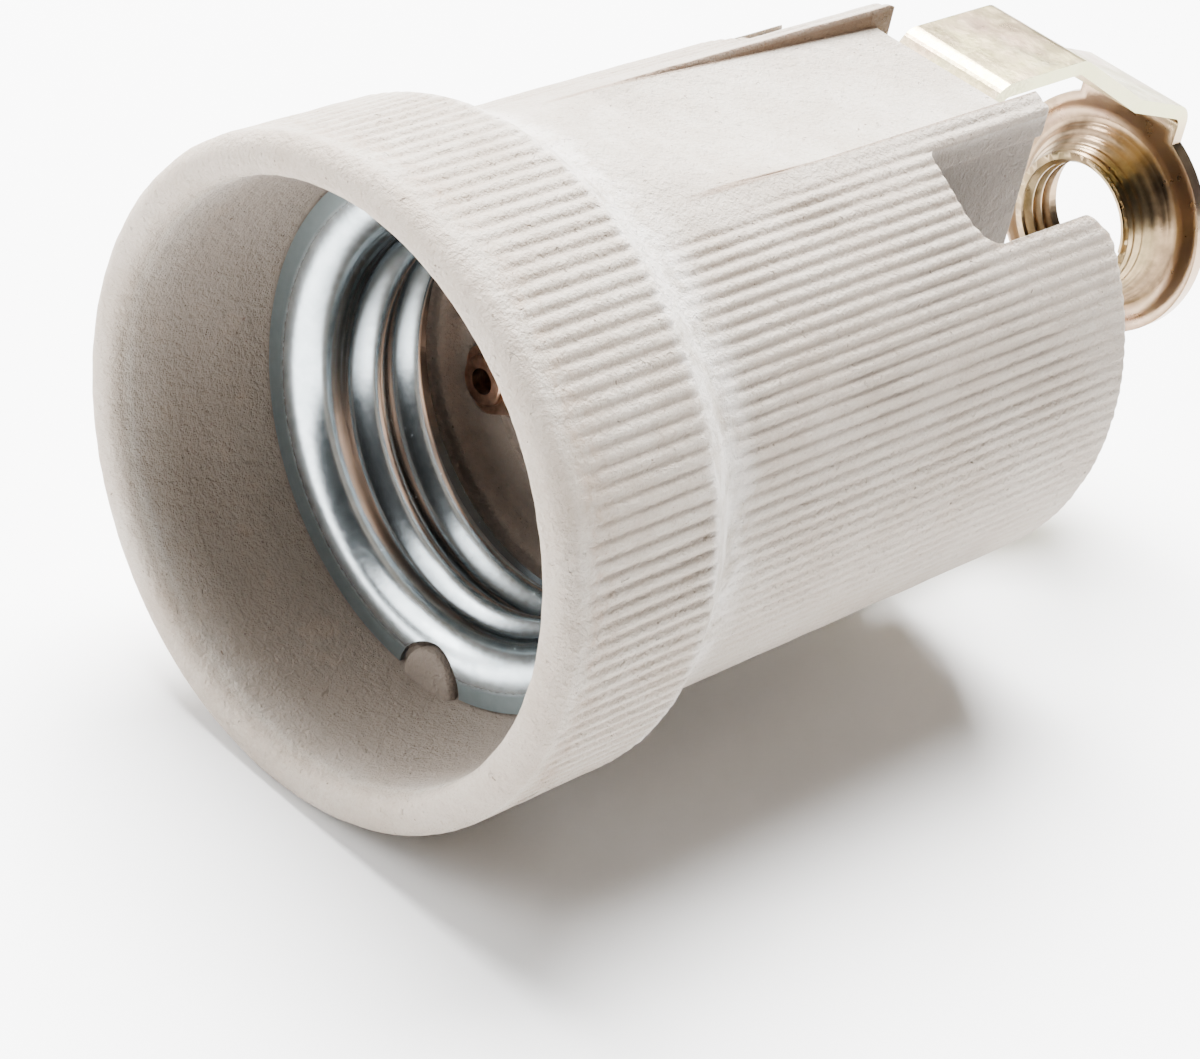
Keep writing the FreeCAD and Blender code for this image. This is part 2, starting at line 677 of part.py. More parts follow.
def slotted_screw(name, place, seat, length, radius, head_radius, head_height):
    """Cheese-head screw whose head bears on a face at depth seat, driven from the back."""
    body = new_body(name)
    body.setExpression(".Placement.Base.x", place[0])
    body.setExpression(".Placement.Base.z", "Places.mouth_radius + " + place[1])
    section = new_sketch(body, name + "_profile", "XY_Plane")
    tip = seat + " - (" + length + ")"
    top = seat + " + " + head_height
    outline(section, [
        ("0", tip),
        (radius + " - Sizes.screw_tip", tip),
        (radius, tip + " + Sizes.screw_tip"),
        (radius, seat),
        (head_radius, seat),
        (head_radius, top),
        ("0", top),
    ])
    spin(body, section, name + "_blank")
    fillet(body, name + "_crown", "Sizes.head_round",
           lambda edge: ring_edge(edge, number(body, head_radius), number(body, top)))
    cut = new_sketch(body, name + "_slot_outline", "XZ_Plane", "-(%s)" % top)
    box_outline(cut, "-2 * " + head_radius, "-Sizes.driver_slot_width / 2",
                "2 * " + head_radius, "Sizes.driver_slot_width / 2")
    pocket(body, cut, name + "_slot", "Sizes.driver_slot_depth", reverse=True)
    return body


def terminals():
    """Plates, washers and screws of the two terminals."""
    for side, owner in ((-1, "contact"), (1, "shell")):
        terminal_plate(owner + "_terminal_plate", side)
        clamp_washer(owner + "_clamp_washer", side)
        slotted_screw(owner + "_terminal_screw", ("%d * Places.clamp_x" % side, "Sizes.clamp_z"),
                      "Places.screw_seat", "Sizes.screw_length", "Sizes.screw_radius",
                      "Sizes.head_radius", "Sizes.head_height")


# ---------------------------------------------------------------- bracket

def strap_outline(sketch, side):
    """Side view of one leg: foot, leg, slope, joggle and the run into the end plate."""
    thick = "Sizes.strap_sheet"
    slope = "Sizes.slope_angle * 1 deg"
    joggle = "Sizes.joggle_angle * 1 deg"
    joggle_height = ("(Places.leg_height - (Places.joggle_depth - Places.knee_depth)"
                     " * tan(%s))" % slope)
    run = "(Places.overall_length - Places.joggle_depth)"
    end_height = "(%s - %s * tan(%s))" % (joggle_height, run, joggle)
    middle = "((%s + %s) / 2)" % (slope, joggle)
    spread = "((%s - %s) / 2)" % (slope, joggle)
    end_inner = "(%s - (%s - %s) * tan(%s) - %s / cos(%s))" % (
        joggle_height, run, thick, joggle, thick, joggle)
    knee_step = "%s * tan(%s / 2)" % (thick, slope)
    places = [
        ("Places.foot_seat", "Sizes.foot_end"),
        ("Places.foot_seat", "Places.leg_height"),
        ("Places.knee_depth", "Places.leg_height"),
        ("Places.joggle_depth", joggle_height),
        ("Places.overall_length", end_height),
        ("Places.overall_length", "Sizes.collar_base_radius"),
        ("Places.overall_length - " + thick, "Sizes.collar_base_radius"),
        ("Places.overall_length - " + thick, end_inner),
        ("Places.joggle_depth - %s * sin(%s) / cos(%s)" % (thick, middle, spread),
         "%s - %s * cos(%s) / cos(%s)" % (joggle_height, thick, middle, spread)),
        ("Places.knee_depth - " + knee_step, "Places.leg_height - " + thick),
        ("Places.foot_seat + " + thick, "Places.leg_height - " + thick),
        ("Places.foot_seat + " + thick, "Sizes.foot_end"),
    ]
    outline(sketch, [(y, "%d * (%s)" % (side, z)) for y, z in places])


def mounting_bracket():
    """Bent steel strap with two feet, an end plate and a drawn collar for a threaded tube."""
    body = new_body("mounting_bracket")
    side_view = new_sketch(body, "strap_profile", "YZ_Plane")
    strap_outline(side_view, 1)
    strap_outline(side_view, -1)
    extrude(body, side_view, "strap", "Sizes.strap_width", midplane=True)
    disc = new_sketch(body, "disc_outline", "XZ_Plane", "-Places.plate_front")
    circle(disc, ("0", "0"), "Sizes.disc_radius")
    extrude(body, disc, "end_plate", "Sizes.strap_sheet", reverse=True)
    outer = "Sizes.bend_radius + Sizes.strap_sheet"
    foot = size("foot_seat")
    knee = size("knee_depth")
    joggle = size("joggle_depth")
    back = size("overall_length")
    sheet = size("strap_sheet")
    leg = size("leg_height")

    def bend(edge, depths, highest):
        """The edge crosses the strap at one of these depths, clear of the end plate."""
        middle = edge.CenterOfMass
        return (along(edge, "x") and any(near(middle.y, depth) for depth in depths)
                and size("disc_radius") < abs(middle.z) < highest)

    fillet(body, "outer_bends", outer,
           lambda edge: bend(edge, (foot, knee, joggle, back), leg + sheet))
    fillet(body, "inner_bends", "Sizes.bend_radius",
           lambda edge: bend(edge, (foot + sheet, back - sheet), leg))
    collar = new_sketch(body, "collar_profile", "XY_Plane")
    outline(collar, [
        ("Sizes.tube_bore_radius", "Places.collar_tip"),
        ("Sizes.collar_tip_radius", "Places.collar_tip"),
        ("Sizes.collar_base_radius", "Places.plate_front"),
        ("Sizes.collar_base_radius", "Places.overall_length"),
        ("Sizes.tube_bore_radius", "Places.overall_length"),
    ])
    spin(body, collar, "drawn_collar")
    bore = new_sketch(body, "tube_bore_outline", "XZ_Plane", "-Places.overall_length")
    circle(bore, ("0", "0"), "Sizes.tube_bore_radius")
    pocket(body, bore, "tube_bore", "Sizes.strap_sheet + Sizes.collar_height", reverse=True)
    holes = new_sketch(body, "foot_hole_outline", "XZ_Plane", "-Places.foot_seat")
    for sign in ("", "-"):
        circle(holes, ("0", sign + "Sizes.bolt_offset"), "Places.bolt_hole_radius")
    pocket(body, holes, "foot_holes", "Sizes.strap_sheet")


def lock_washer(name, height):
    """Spring washer between a foot of the bracket and the head of its bolt."""
    body = new_body(name)
    body.setExpression(".Placement.Base.z", "Places.mouth_radius + " + height)
    flat = new_sketch(body, name + "_outline", "XZ_Plane", "-Places.foot_back")
    circle(flat, ("0", "0"), "Sizes.bolt_head_radius - Sizes.nut_play")
    circle(flat, ("0", "0"), "Places.bolt_hole_radius")
    extrude(body, flat, name + "_ring", "Sizes.lock_washer_height", reverse=True)
    split = new_sketch(body, name + "_split_outline", "YZ_Plane")
    spare = "Sizes.bolt_play"
    box_outline(split, "Places.foot_back - " + spare, "Sizes.bolt_radius",
                "Places.foot_back + Sizes.lock_washer_height + " + spare,
                "Sizes.bolt_head_radius")
    pocket(body, split, name + "_split", "2 * Sizes.nut_play", midplane=True)


def bracket_nut(name, height):
    """Hexagon nut in its pocket in the socket floor."""
    body = new_body(name)
    body.setExpression(".Placement.Base.z", "Places.mouth_radius + " + height)
    face = "-(Places.floor_depth + Sizes.nut_play)"
    flat = new_sketch(body, name + "_outline", "XZ_Plane", face)
    hexagon(flat, ("0", "0"), "Sizes.nut_across_flats")
    circle(flat, ("0", "0"), "Sizes.bolt_radius + Sizes.clamp_play")
    extrude(body, flat, name + "_pad", "Sizes.nut_height", reverse=True)


def bracket_fasteners():
    """Bolt, spring washer and nut for each foot of the bracket."""
    seat = "Places.foot_back + Sizes.lock_washer_height"
    length = seat + " - Places.floor_depth - Sizes.bolt_tip_room"
    for sign, place in (("", "upper"), ("-", "lower")):
        height = sign + "Sizes.bolt_offset"
        slotted_screw(place + "_bracket_bolt", ("0", height), seat, length,
                      "Sizes.bolt_radius", "Sizes.bolt_head_radius", "Sizes.bolt_head_height")
        lock_washer(place + "_lock_washer", height)
        bracket_nut(place + "_bracket_nut", height)


# ---------------------------------------------------------------- run

def check_document():
    """Every object is computed and every piece is a sound solid."""
    DOCUMENT.recompute()
    for item in DOCUMENT.Objects:
        if "Invalid" in item.State or "Error" in item.State:
            raise RuntimeError("%s failed: %s" % (item.Name, item.State))
    for piece in PIECES:
        if piece.Shape.isNull() or not piece.Shape.isValid() or not piece.Shape.Solids:
            raise RuntimeError("%s is not a sound solid" % piece.Label)


def write_parts():
    """One STEP file for each piece."""
    os.makedirs("parts", exist_ok=True)
    for piece in PIECES:
        piece.Shape.exportStep("parts/%s.step" % piece.Label)
        print("%-26s %2d solid(s) %10.2f mm3" % (
            piece.Label, len(piece.Shape.Solids), piece.Shape.Volume))


def main():
    """Build the whole lamp holder."""
    fill_sheet()
    work_out_places()
    porcelain_body()
    screw_shell()
    centre_contact()
    rivet("contact_rivet", -1, "Sizes.contact_sheet")
    rivet("shell_rivet", 1, "Sizes.sheet")
    terminals()
    mounting_bracket()
    bracket_fasteners()
    check_document()
    write_parts()


main()
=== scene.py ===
import json
import math

import bmesh
import bpy
import numpy as np
from mathutils import Matrix, Vector, noise


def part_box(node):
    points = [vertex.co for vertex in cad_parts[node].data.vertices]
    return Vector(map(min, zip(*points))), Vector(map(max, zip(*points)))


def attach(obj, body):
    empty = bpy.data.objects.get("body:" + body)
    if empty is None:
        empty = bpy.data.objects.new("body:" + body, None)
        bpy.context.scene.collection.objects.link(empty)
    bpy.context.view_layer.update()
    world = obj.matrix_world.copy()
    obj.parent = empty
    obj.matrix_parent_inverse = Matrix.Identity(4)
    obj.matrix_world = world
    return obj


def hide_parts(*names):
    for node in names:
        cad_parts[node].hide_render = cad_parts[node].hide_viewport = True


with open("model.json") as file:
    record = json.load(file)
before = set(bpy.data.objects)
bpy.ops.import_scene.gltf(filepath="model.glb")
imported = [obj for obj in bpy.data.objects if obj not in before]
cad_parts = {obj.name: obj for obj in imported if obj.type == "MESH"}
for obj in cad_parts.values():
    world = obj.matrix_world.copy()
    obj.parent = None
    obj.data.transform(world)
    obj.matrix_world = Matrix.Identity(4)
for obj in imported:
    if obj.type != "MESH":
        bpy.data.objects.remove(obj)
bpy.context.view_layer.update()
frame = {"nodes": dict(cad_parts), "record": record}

# ------------------------------------------------------------------ the holder's own frame
# Sizes are in millimetres. A point is (across, depth, height): depth runs from the plane
# of the mouth along +Y, across and height are measured from the holder's axis.
MM = 0.001
BODY_LOW, BODY_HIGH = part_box("porcelain_body")
MOUTH_PLANE = BODY_LOW.y / MM
AXIS_HEIGHT = (BODY_LOW.z + BODY_HIGH.z) / 2 / MM
MOUTH_RADIUS = (BODY_HIGH.x - BODY_LOW.x) / 2 / MM
BODY_LENGTH = (BODY_HIGH.y - BODY_LOW.y) / MM
HOLDER = "holder"

# porcelain
COLLAR_LENGTH = 11.8
SHOULDER_END = 15.2
TAIL_RADIUS = MOUTH_RADIUS - 2.35
WALL = 2.1
RIM_ROUND = 1.3
RIM_INNER_ROUND = 0.9
LIP_DEPTH = 1.8
SHOULDER_ROUND = 1.6
BACK_ROUND = 0.7
MOUTH_BORE = 18.9
SEAT_BORE = 17.45
LIP_RADIUS = SEAT_BORE + (MOUTH_BORE - SEAT_BORE) * 0.85
FLANGE_SEAT = 11.8
SEAT_LIP = (15.6, 13.6)
CAVITY_RADIUS = 14.3
CAVITY_DEPTH = 22.5
FLOOR_RADIUS = 13.2
FLOOR_DEPTH = 24.5
FLOOR_RIDGE = 10.6
CHAMBER_FLOOR = 40.0
CHAMBER_ROUND = 1.0
PARTITION = 7.5
NOTCH_INNER = 7.8
NOTCH_OUTER = 13.6
NOTCH_FRONT = 40.3
SLOT_HALF = 6.2
SLOT_FLOOR = 16.55
SLOT_START = 16.8
SLOT_RUNOUT = 22.3
SLOT_RUNOUT_HEIGHT = 18.2
FOOT_SEAT = 51.0
FOOT_LOW = 4.2
BOLT_OFFSET = 9.0
BOLT_HOLE = 1.95
NUT_POCKET = 3.15
NUT_POCKET_END = 27.45
CLAMP_X = 11.2
CLAMP_Z = 4.0
WELL_RADIUS = 2.3
WELL_END = 33.5
RIVET_REACH = 10.752
RIVET_ANGLE = math.radians(27)
RIVET_HOLE = 1.6
KEY_RADIUS = 2.3
KEY_ANGLE = math.radians(5.9)
KEY_OFFSET = 17.3
KEY_PLACE = (KEY_OFFSET * math.sin(KEY_ANGLE), -KEY_OFFSET * math.cos(KEY_ANGLE))
KEY_HEIGHT = 0.6
KEY_ROUND = 0.5
KEY_ROOT = 0.6
EDGE_ROUND = 0.45
SEAT_ROUND = 0.4
OVERRUN = 1.5

# axial ribs of the mould, and the rough skin that lies just inside the smooth form
RIBS = 132
RIB_STEPS = 8
COLLAR_GROOVE = 0.21
TAIL_GROOVE = 0.17
SKIN = 0.07
FINE_DENT = 0.04
ROUGH_DENT = 0.03

# middle of a few hairline cracks, low on the collar's side
CRACKED_PLACE = (16.6, 5.0, -13.4)

# screw shell
SHEET = 0.35
SHELL_FLANGE = 17.25
SHELL_ROUND_START = 16.0
SHELL_ROUND_DEPTH = 2.1
THREAD_ROOT = 13.3
THREAD_CREST = 12.15
THREAD_PITCH = 3.63
FIRST_CREST = 14.6
SHELL_DEPTH = 21.3
KEY_CLEARANCE = 0.45

# bracket and the thread of its drawn collar
TUBE_BORE = 4.5
TUBE_PITCH = 1.0
TUBE_THREAD_HEIGHT = 0.42
TUBE_THREAD_START = 71.2
TUBE_THREAD_END = 74.5
COLLAR_TIP = 71.0
COLLAR_TIP_RADIUS = 5.0
COLLAR_FLARE = 1.9
DISC_FRONT = 74.0


def to_frame(points):
    """Millimetres about the holder's axis to metres in the row frame."""
    moved = np.asarray(points, float).copy()
    moved[:, 1] += MOUTH_PLANE
    moved[:, 2] += AXIS_HEIGHT
    return moved * MM


def smooth_step(low, high, value):
    """0 below low, 1 above high, and a smooth rise between them."""
    share = np.clip((np.asarray(value, float) - low) / (high - low), 0, 1)
    return share * share * (3 - 2 * share)


# ------------------------------------------------------------------ mesh helpers

def new_object(name, points, faces):
    """Object with a mesh of these points, in millimetres about the axis."""
    mesh = bpy.data.meshes.new(name)
    mesh.from_pydata(to_frame(points).tolist(), [], faces)
    piece = bpy.data.objects.new(name, mesh)
    bpy.context.scene.collection.objects.link(piece)
    face_outwards(mesh)
    return piece


def face_outwards(mesh):
    """Turn every face of a closed mesh outwards."""
    work = bmesh.new()
    work.from_mesh(mesh)
    bmesh.ops.recalc_face_normals(work, faces=work.faces)
    work.to_mesh(mesh)
    work.free()


def shade(piece, angle):
    """Smooth shading that keeps edges sharper than the angle."""
    piece.data.shade_smooth()
    piece.data.set_sharp_from_angle(angle=math.radians(angle))


def skin(name, rings):
    """Closed solid through rings of as many points each, with flat ends."""
    count = len(rings[0])
    faces = []
    for row in range(len(rings) - 1):
        for i in range(count):
            j = (i + 1) % count
            a, b = row * count + i, row * count + j
            faces.append((a, b, b + count, a + count))
    faces.append(tuple(range(count)))
    faces.append(tuple(range((len(rings) - 1) * count, len(rings) * count)))
    return new_object(name, np.concatenate(rings), faces)


def cut(piece, cutters):
    """Take the cutters away from the piece and remove them."""
    group = bpy.data.collections.new("cutters")
    bpy.context.scene.collection.children.link(group)
    for cutter in cutters:
        bpy.context.scene.collection.objects.unlink(cutter)
        group.objects.link(cutter)
    boolean = piece.modifiers.new("cut", "BOOLEAN")
    boolean.operation = "DIFFERENCE"
    boolean.operand_type = "COLLECTION"
    boolean.collection = group
    boolean.solver = "MANIFOLD"
    apply_modifiers(piece)
    for cutter in cutters:
        bpy.data.objects.remove(cutter)
    bpy.data.collections.remove(group)


def apply_modifiers(piece):
    """Bake the piece's modifiers into its mesh."""
    graph = bpy.context.evaluated_depsgraph_get()
    mesh = bpy.data.meshes.new_from_object(piece.evaluated_get(graph))
    piece.modifiers.clear()
    old = piece.data
    piece.data = mesh
    bpy.data.meshes.remove(old)


def rounded(corners, steps):
    """Open outline through corners (x, y, radius), each rounded by an arc."""
    points = []
    for i, (x, y, radius) in enumerate(corners):
        here = np.array((x, y))
        if radius == 0 or i in (0, len(corners) - 1):
            points.append(here)
            continue
        before = np.array(corners[i - 1][:2]) - here
        after = np.array(corners[i + 1][:2]) - here
        before /= np.linalg.norm(before)
        after /= np.linalg.norm(after)
        half = math.acos(np.clip(before @ after, -1, 1)) / 2
        reach = radius / math.tan(half)
        centre = here + (before + after) / np.linalg.norm(before + after) * radius / math.sin(half)
        start = here + before * reach - centre
        end = here + after * reach - centre
        sweep = math.pi - 2 * half
        for step in range(steps + 1):
            share = step / steps
            weight = math.sin((1 - share) * sweep), math.sin(share * sweep)
            points.append(centre + (start * weight[0] + end * weight[1]) / math.sin(sweep))
    return np.array(points)


def densify(points, longest):
    """Split the spans of an outline that are longer than a length that depends on depth."""
    out = [points[0]]
    for a, b in zip(points[:-1], points[1:]):
        pieces = max(1, math.ceil(np.linalg.norm(b - a) / longest((a[1] + b[1]) / 2)))
        out.extend(a + (b - a) * k / pieces for k in range(1, pieces + 1))
    return np.array(out)


# ------------------------------------------------------------------ porcelain body

def outer_outline():
    """Section of the outside, from the back's middle to the inner edge of the rim."""
    corners = [
        (1.0, BODY_LENGTH, 0),
        (TAIL_RADIUS, BODY_LENGTH, BACK_ROUND),
        (TAIL_RADIUS, SHOULDER_END, SHOULDER_ROUND),
        (MOUTH_RADIUS, COLLAR_LENGTH, SHOULDER_ROUND),
        (MOUTH_RADIUS, 0.0, RIM_ROUND),
        (MOUTH_BORE, 0.0, RIM_INNER_ROUND),
        (LIP_RADIUS, LIP_DEPTH, 0),
    ]

    def longest(depth):
        if COLLAR_LENGTH - 1.6 < depth < SHOULDER_END + 3.4:
            return 0.28
        if depth < COLLAR_LENGTH:
            return 1.1
        return 1.8 if depth < BODY_LENGTH - 1 else 3.0

    return densify(rounded(corners, 6), longest)


def inner_outline():
    """Section of the socket, from just inside the rim to the middle of its floor."""
    corners = [
        (LIP_RADIUS, LIP_DEPTH, 0),
        (SEAT_BORE, FLANGE_SEAT, 0.3),
        (SEAT_LIP[0], FLANGE_SEAT, 0.2),
        (CAVITY_RADIUS, SEAT_LIP[1], 0.2),
        (CAVITY_RADIUS, CAVITY_DEPTH, 0.3),
        (FLOOR_RADIUS, CAVITY_DEPTH, 0.45),
        (FLOOR_RADIUS, FLOOR_DEPTH, 0.6),
        (FLOOR_RIDGE + 0.35, FLOOR_DEPTH, 0.15),
        (FLOOR_RIDGE + 0.1, FLOOR_DEPTH - 0.2, 0.08),
        (FLOOR_RIDGE - 0.1, FLOOR_DEPTH - 0.2, 0.08),
        (FLOOR_RIDGE - 0.35, FLOOR_DEPTH, 0.15),
        (0.8, FLOOR_DEPTH, 0),
    ]
    return densify(rounded(corners, 4), lambda depth: 2.0)


def groove(angle, depth):
    """How deep the mould's ribs cut in here, from 0 on a crest to 1 in a groove."""
    lines = (0.5 + 0.5 * np.cos(RIBS * angle)) ** 1.4
    off_top = np.abs((angle + math.pi / 2) % math.pi - math.pi / 2)
    smooth = np.radians(25.5 - 6.5 * smooth_step(SHOULDER_END, BODY_LENGTH, depth))
    if depth < COLLAR_LENGTH:
        return lines
    return lines * smooth_step(smooth - 0.02, smooth + 0.05, off_top)


def unevenness(angle, depth, scale, seed):
    """Slow random wander over the surface, about -1 to 1."""
    x, z = math.sin(angle) * 20 / scale, math.cos(angle) * 20 / scale
    return noise.noise(Vector((x + seed, depth / scale, z - seed)))


def ribbed_radius(radius, depth, angles):
    """Radius of the outside round one ring, with ribs on the collar and the tail."""
    wander = np.array([unevenness(a, depth, 6.0, 3.0) for a in angles])
    fine = np.array([unevenness(a, depth, 1.7, 9.0) for a in angles])
    lines = groove(angles, depth)
    from_top = np.abs((angles + math.pi) % (2 * math.pi) - math.pi)
    if depth < SHOULDER_END - 1.2 and radius > MOUTH_RADIUS - 2.2:
        lines = lines * smooth_step(1.5, 3.2, depth + 0.7 * wander)
        lines = lines * (1 - 0.45 * smooth_step(math.radians(100), math.radians(150), from_top))
        cut_to = MOUTH_RADIUS - COLLAR_GROOVE * lines * (1 + 0.3 * wander)
        gap = radius - cut_to
        soft = 0.06
        radii = cut_to + (gap - np.sqrt(gap * gap + soft * soft)) / 2
        radii = np.minimum(radii, radius)
    elif depth > SHOULDER_END - 1.2 and radius > TAIL_RADIUS - 0.4:
        start = SHOULDER_END + 0.9 + 1.3 * wander + 0.5 * fine
        share = smooth_step(start - 0.7, start + 1.6, depth)
        share = share * (1 - 0.55 * smooth_step(BODY_LENGTH - 9, BODY_LENGTH - 1, depth))
        share = share * (1 - 0.6 * smooth_step(math.radians(58), math.radians(112), from_top))
        radii = radius - TAIL_GROOVE * lines * share * (1 + 0.6 * wander + 0.25 * fine)
    else:
        radii = np.full(len(angles), radius)
    rough = np.array([unevenness(a, depth, 0.7, 17.0) for a in angles])
    dents = FINE_DENT * np.clip(fine, -1, 0.9) + ROUGH_DENT * np.clip(rough, -1, 0.9)
    return np.maximum(radii - SKIN + dents * (radius > FLOOR_RADIUS), 0.2)


def lathe(name):
    """Closed blank of the porcelain: fine rings outside and coarse ones in the socket."""
    fine = RIBS * RIB_STEPS
    coarse = fine // 4
    angles = np.arange(fine) * 2 * math.pi / fine
    points, faces, start = [], [], 0

    def ring(radii, depth, about):
        points.append(np.stack([np.sin(about) * radii, np.full(len(about), depth),
                                np.cos(about) * radii], 1))

    def join(a, b, count):
        for i in range(count):
            j = (i + 1) % count
            faces.append((a + i, a + j, b + j, b + i))

    outside = outer_outline()
    for row, (radius, depth) in enumerate(outside):
        ring(ribbed_radius(radius, depth, angles), depth, angles)
        if row:
            join(start, start + fine, fine)
            start += fine
    faces.append(tuple(range(fine)))
    inside = inner_outline()[1:]
    wide, start = start, start + fine
    for row, (radius, depth) in enumerate(inside):
        about = angles[::4]
        radii = np.array([radius + 0.03 * unevenness(a, depth, 4.0, 5.0) for a in about])
        ring(radii, depth, about)
        if row:
            join(start, start + coarse, coarse)
            start += coarse
    first = wide + fine
    for i in range(coarse):
        j = (i + 1) % coarse
        edge = [wide + (4 * i + k) % fine for k in range(5)]
        faces.append((first + i, edge[0], edge[1]))
        faces.append((first + i, edge[1], edge[2]))
        faces.append((first + i, edge[2], first + j))
        faces.append((first + j, edge[2], edge[3]))
        faces.append((first + j, edge[3], edge[4]))
    faces.append(tuple(range(start, start + coarse)))
    return new_object(name, np.concatenate(points), faces)


def quarter():
    """Shares of a quarter round: (out, along) from the wall to the face."""
    turns = [math.pi / 2 * k / 4 for k in range(5)]
    return [(1 - math.cos(t), math.sin(t)) for t in turns]


def chamber_ring(side, depth, grow):
    """Outline of a terminal chamber at one depth, grown outwards by a length."""
    chord = PARTITION - grow
    radius = TAIL_RADIUS - WALL + grow
    corner = CHAMBER_ROUND + grow
    rise = math.sqrt((radius - corner) ** 2 - (chord + corner) ** 2)
    turn = math.atan2(rise, chord + corner)
    arc = [(radius * math.cos(t), radius * math.sin(t)) for t in np.linspace(-turn, turn, 49)]
    high = [(chord + corner + corner * math.cos(t), rise + corner * math.sin(t))
            for t in np.linspace(turn, math.pi, 9)[1:]]
    low = [(x, -z) for x, z in high[::-1]]
    return np.array([(side * x, depth, z) for x, z in arc + high + low])


def chamber_cutter(side):
    """Terminal chamber with a rounded floor and a rounded edge at the back."""
    rings = [chamber_ring(side, CHAMBER_FLOOR + EDGE_ROUND * (1 - along), -EDGE_ROUND * out)
             for out, along in quarter()[::-1]]
    rings += [chamber_ring(side, BODY_LENGTH - EDGE_ROUND * (1 - along), EDGE_ROUND * out)
              for out, along in quarter()]
    rings.append(chamber_ring(side, BODY_LENGTH + OVERRUN, EDGE_ROUND))
    return skin("chamber_cutter", rings)


def notch_ring(side, grow, height):
    """Outline of a wire notch grown outwards by a length, at a height that depends on x."""
    inner, outer, front = NOTCH_INNER - grow, NOTCH_OUTER + grow, NOTCH_FRONT - grow
    behind = BODY_LENGTH + OVERRUN
    corners = [
        (inner - 0.6, behind, 0), (inner - 0.6, BODY_LENGTH, 0.05),
        (inner - 0.02, BODY_LENGTH - 0.5, 0.5),
        (inner, front, 0.8 + grow), (outer, front, 2.3 + grow),
        (outer + 0.02, BODY_LENGTH - 1.9, 1.2),
        (outer + 1.3, BODY_LENGTH - 0.3, 1.2), (outer + 2.2, behind, 0),
    ]
    outline = rounded(corners, 6)
    return np.array([(side * x, y, height(x)) for x, y in outline])


def surface_height(radius):
    """Height of a cylinder about the axis, above a place across from it."""
    return lambda x: math.sqrt(max(radius * radius - x * x, 1.0))


def notch_cutter(side):
    """Wire notch through the wall of a chamber, with rounded edges outside and inside."""
    outside = surface_height(TAIL_RADIUS)
    inside = surface_height(TAIL_RADIUS - WALL)
    rings = [notch_ring(side, EDGE_ROUND, lambda x: 6.0)]
    for out, along in quarter()[::-1]:
        rings.append(notch_ring(side, EDGE_ROUND * out,
                                lambda x: inside(x) + EDGE_ROUND * (1 - along)))
    for out, along in quarter():
        rings.append(notch_ring(side, EDGE_ROUND * out,
                                lambda x: outside(x) - EDGE_ROUND * (1 - along) + 0.04))
    rings.append(notch_ring(side, EDGE_ROUND, lambda x: MOUTH_RADIUS + 2))
    return skin("notch_cutter", rings)


def slot_cutter(side):
    """Strap slot that runs out to the surface towards the collar."""
    wall_top = surface_height(TAIL_RADIUS)(SLOT_HALF)
    rings = []
    for depth in np.concatenate([np.linspace(SLOT_START, SLOT_RUNOUT, 8),
                                 np.linspace(SLOT_RUNOUT + 2, BODY_LENGTH + 2, 18)]):
        if depth < SLOT_RUNOUT:
            share = (depth - SLOT_START) / (SLOT_RUNOUT - SLOT_START)
            floor = TAIL_RADIUS + 0.1 + (SLOT_RUNOUT_HEIGHT - TAIL_RADIUS - 0.1) * share
        else:
            share = (depth - SLOT_RUNOUT) / (BODY_LENGTH - SLOT_RUNOUT)
            floor = SLOT_RUNOUT_HEIGHT + (SLOT_FLOOR - SLOT_RUNOUT_HEIGHT) * share
        half = [(SLOT_HALF + EDGE_ROUND * out,
                 max(floor, wall_top - EDGE_ROUND * (1 - along)))
                for out, along in quarter()]
        half = [(SLOT_HALF - 0.3, floor), (SLOT_HALF - 0.05, floor + 0.08)] + half
        half.append((SLOT_HALF + EDGE_ROUND, MOUTH_RADIUS + 2))
        outline = half + [(-x, z) for x, z in half[::-1]]
        rings.append(np.array([(x, depth, side * z) for x, z in outline]))
    return skin("slot_cutter", rings)


def seat_cutter(side):
    """Seat that lets a foot of the strap lie below the porcelain's back."""
    steps = [(0, FOOT_SEAT)]
    steps += [(SEAT_ROUND * out, BODY_LENGTH - SEAT_ROUND * (1 - along))
              for out, along in quarter()]
    steps.append((SEAT_ROUND, BODY_LENGTH + OVERRUN))
    rings = []
    for grow, depth in steps:
        wide, low = SLOT_HALF + grow, FOOT_LOW - grow
        outline = rounded([(0, low, 0), (wide, low, 0.8), (wide, MOUTH_RADIUS + 1, 0),
                           (0, MOUTH_RADIUS + 1, 0)], 4)
        both = list(outline) + [(-x, z) for x, z in outline[::-1][1:-1]]
        rings.append(np.array([(x, depth, side * z) for x, z in both]))
    return skin("seat_cutter", rings)


def circle(x, z, radius, depth, sides, turn=0.0):
    """Ring of points about a line that runs along the axis."""
    about = [turn + 2 * math.pi * k / sides for k in range(sides)]
    return np.array([(x + radius * math.cos(t), depth, z + radius * math.sin(t))
                     for t in about])


def drill(x, z, radius, start, end, sides=32, turn=0.0):
    """Straight hole along the axis, round or with flat sides."""
    return skin("drill", [circle(x, z, radius, depth, sides, turn) for depth in (start, end)])


def key_piece():
    """Half-round key on the flange seat, its front edge rounded."""
    rings = [circle(*KEY_PLACE, KEY_RADIUS, FLANGE_SEAT + KEY_ROOT, 40)]
    for out, along in quarter():
        rings.append(circle(*KEY_PLACE, KEY_RADIUS - KEY_ROUND * out,
                            FLANGE_SEAT - KEY_HEIGHT + KEY_ROUND * (1 - along), 40))
    return skin("key", rings)


def join_into(piece, other):
    """Union of two closed solids in the first one's object."""
    boolean = piece.modifiers.new("join", "BOOLEAN")
    boolean.operation = "UNION"
    boolean.object = other
    boolean.solver = "MANIFOLD"
    apply_modifiers(piece)
    bpy.data.objects.remove(other)


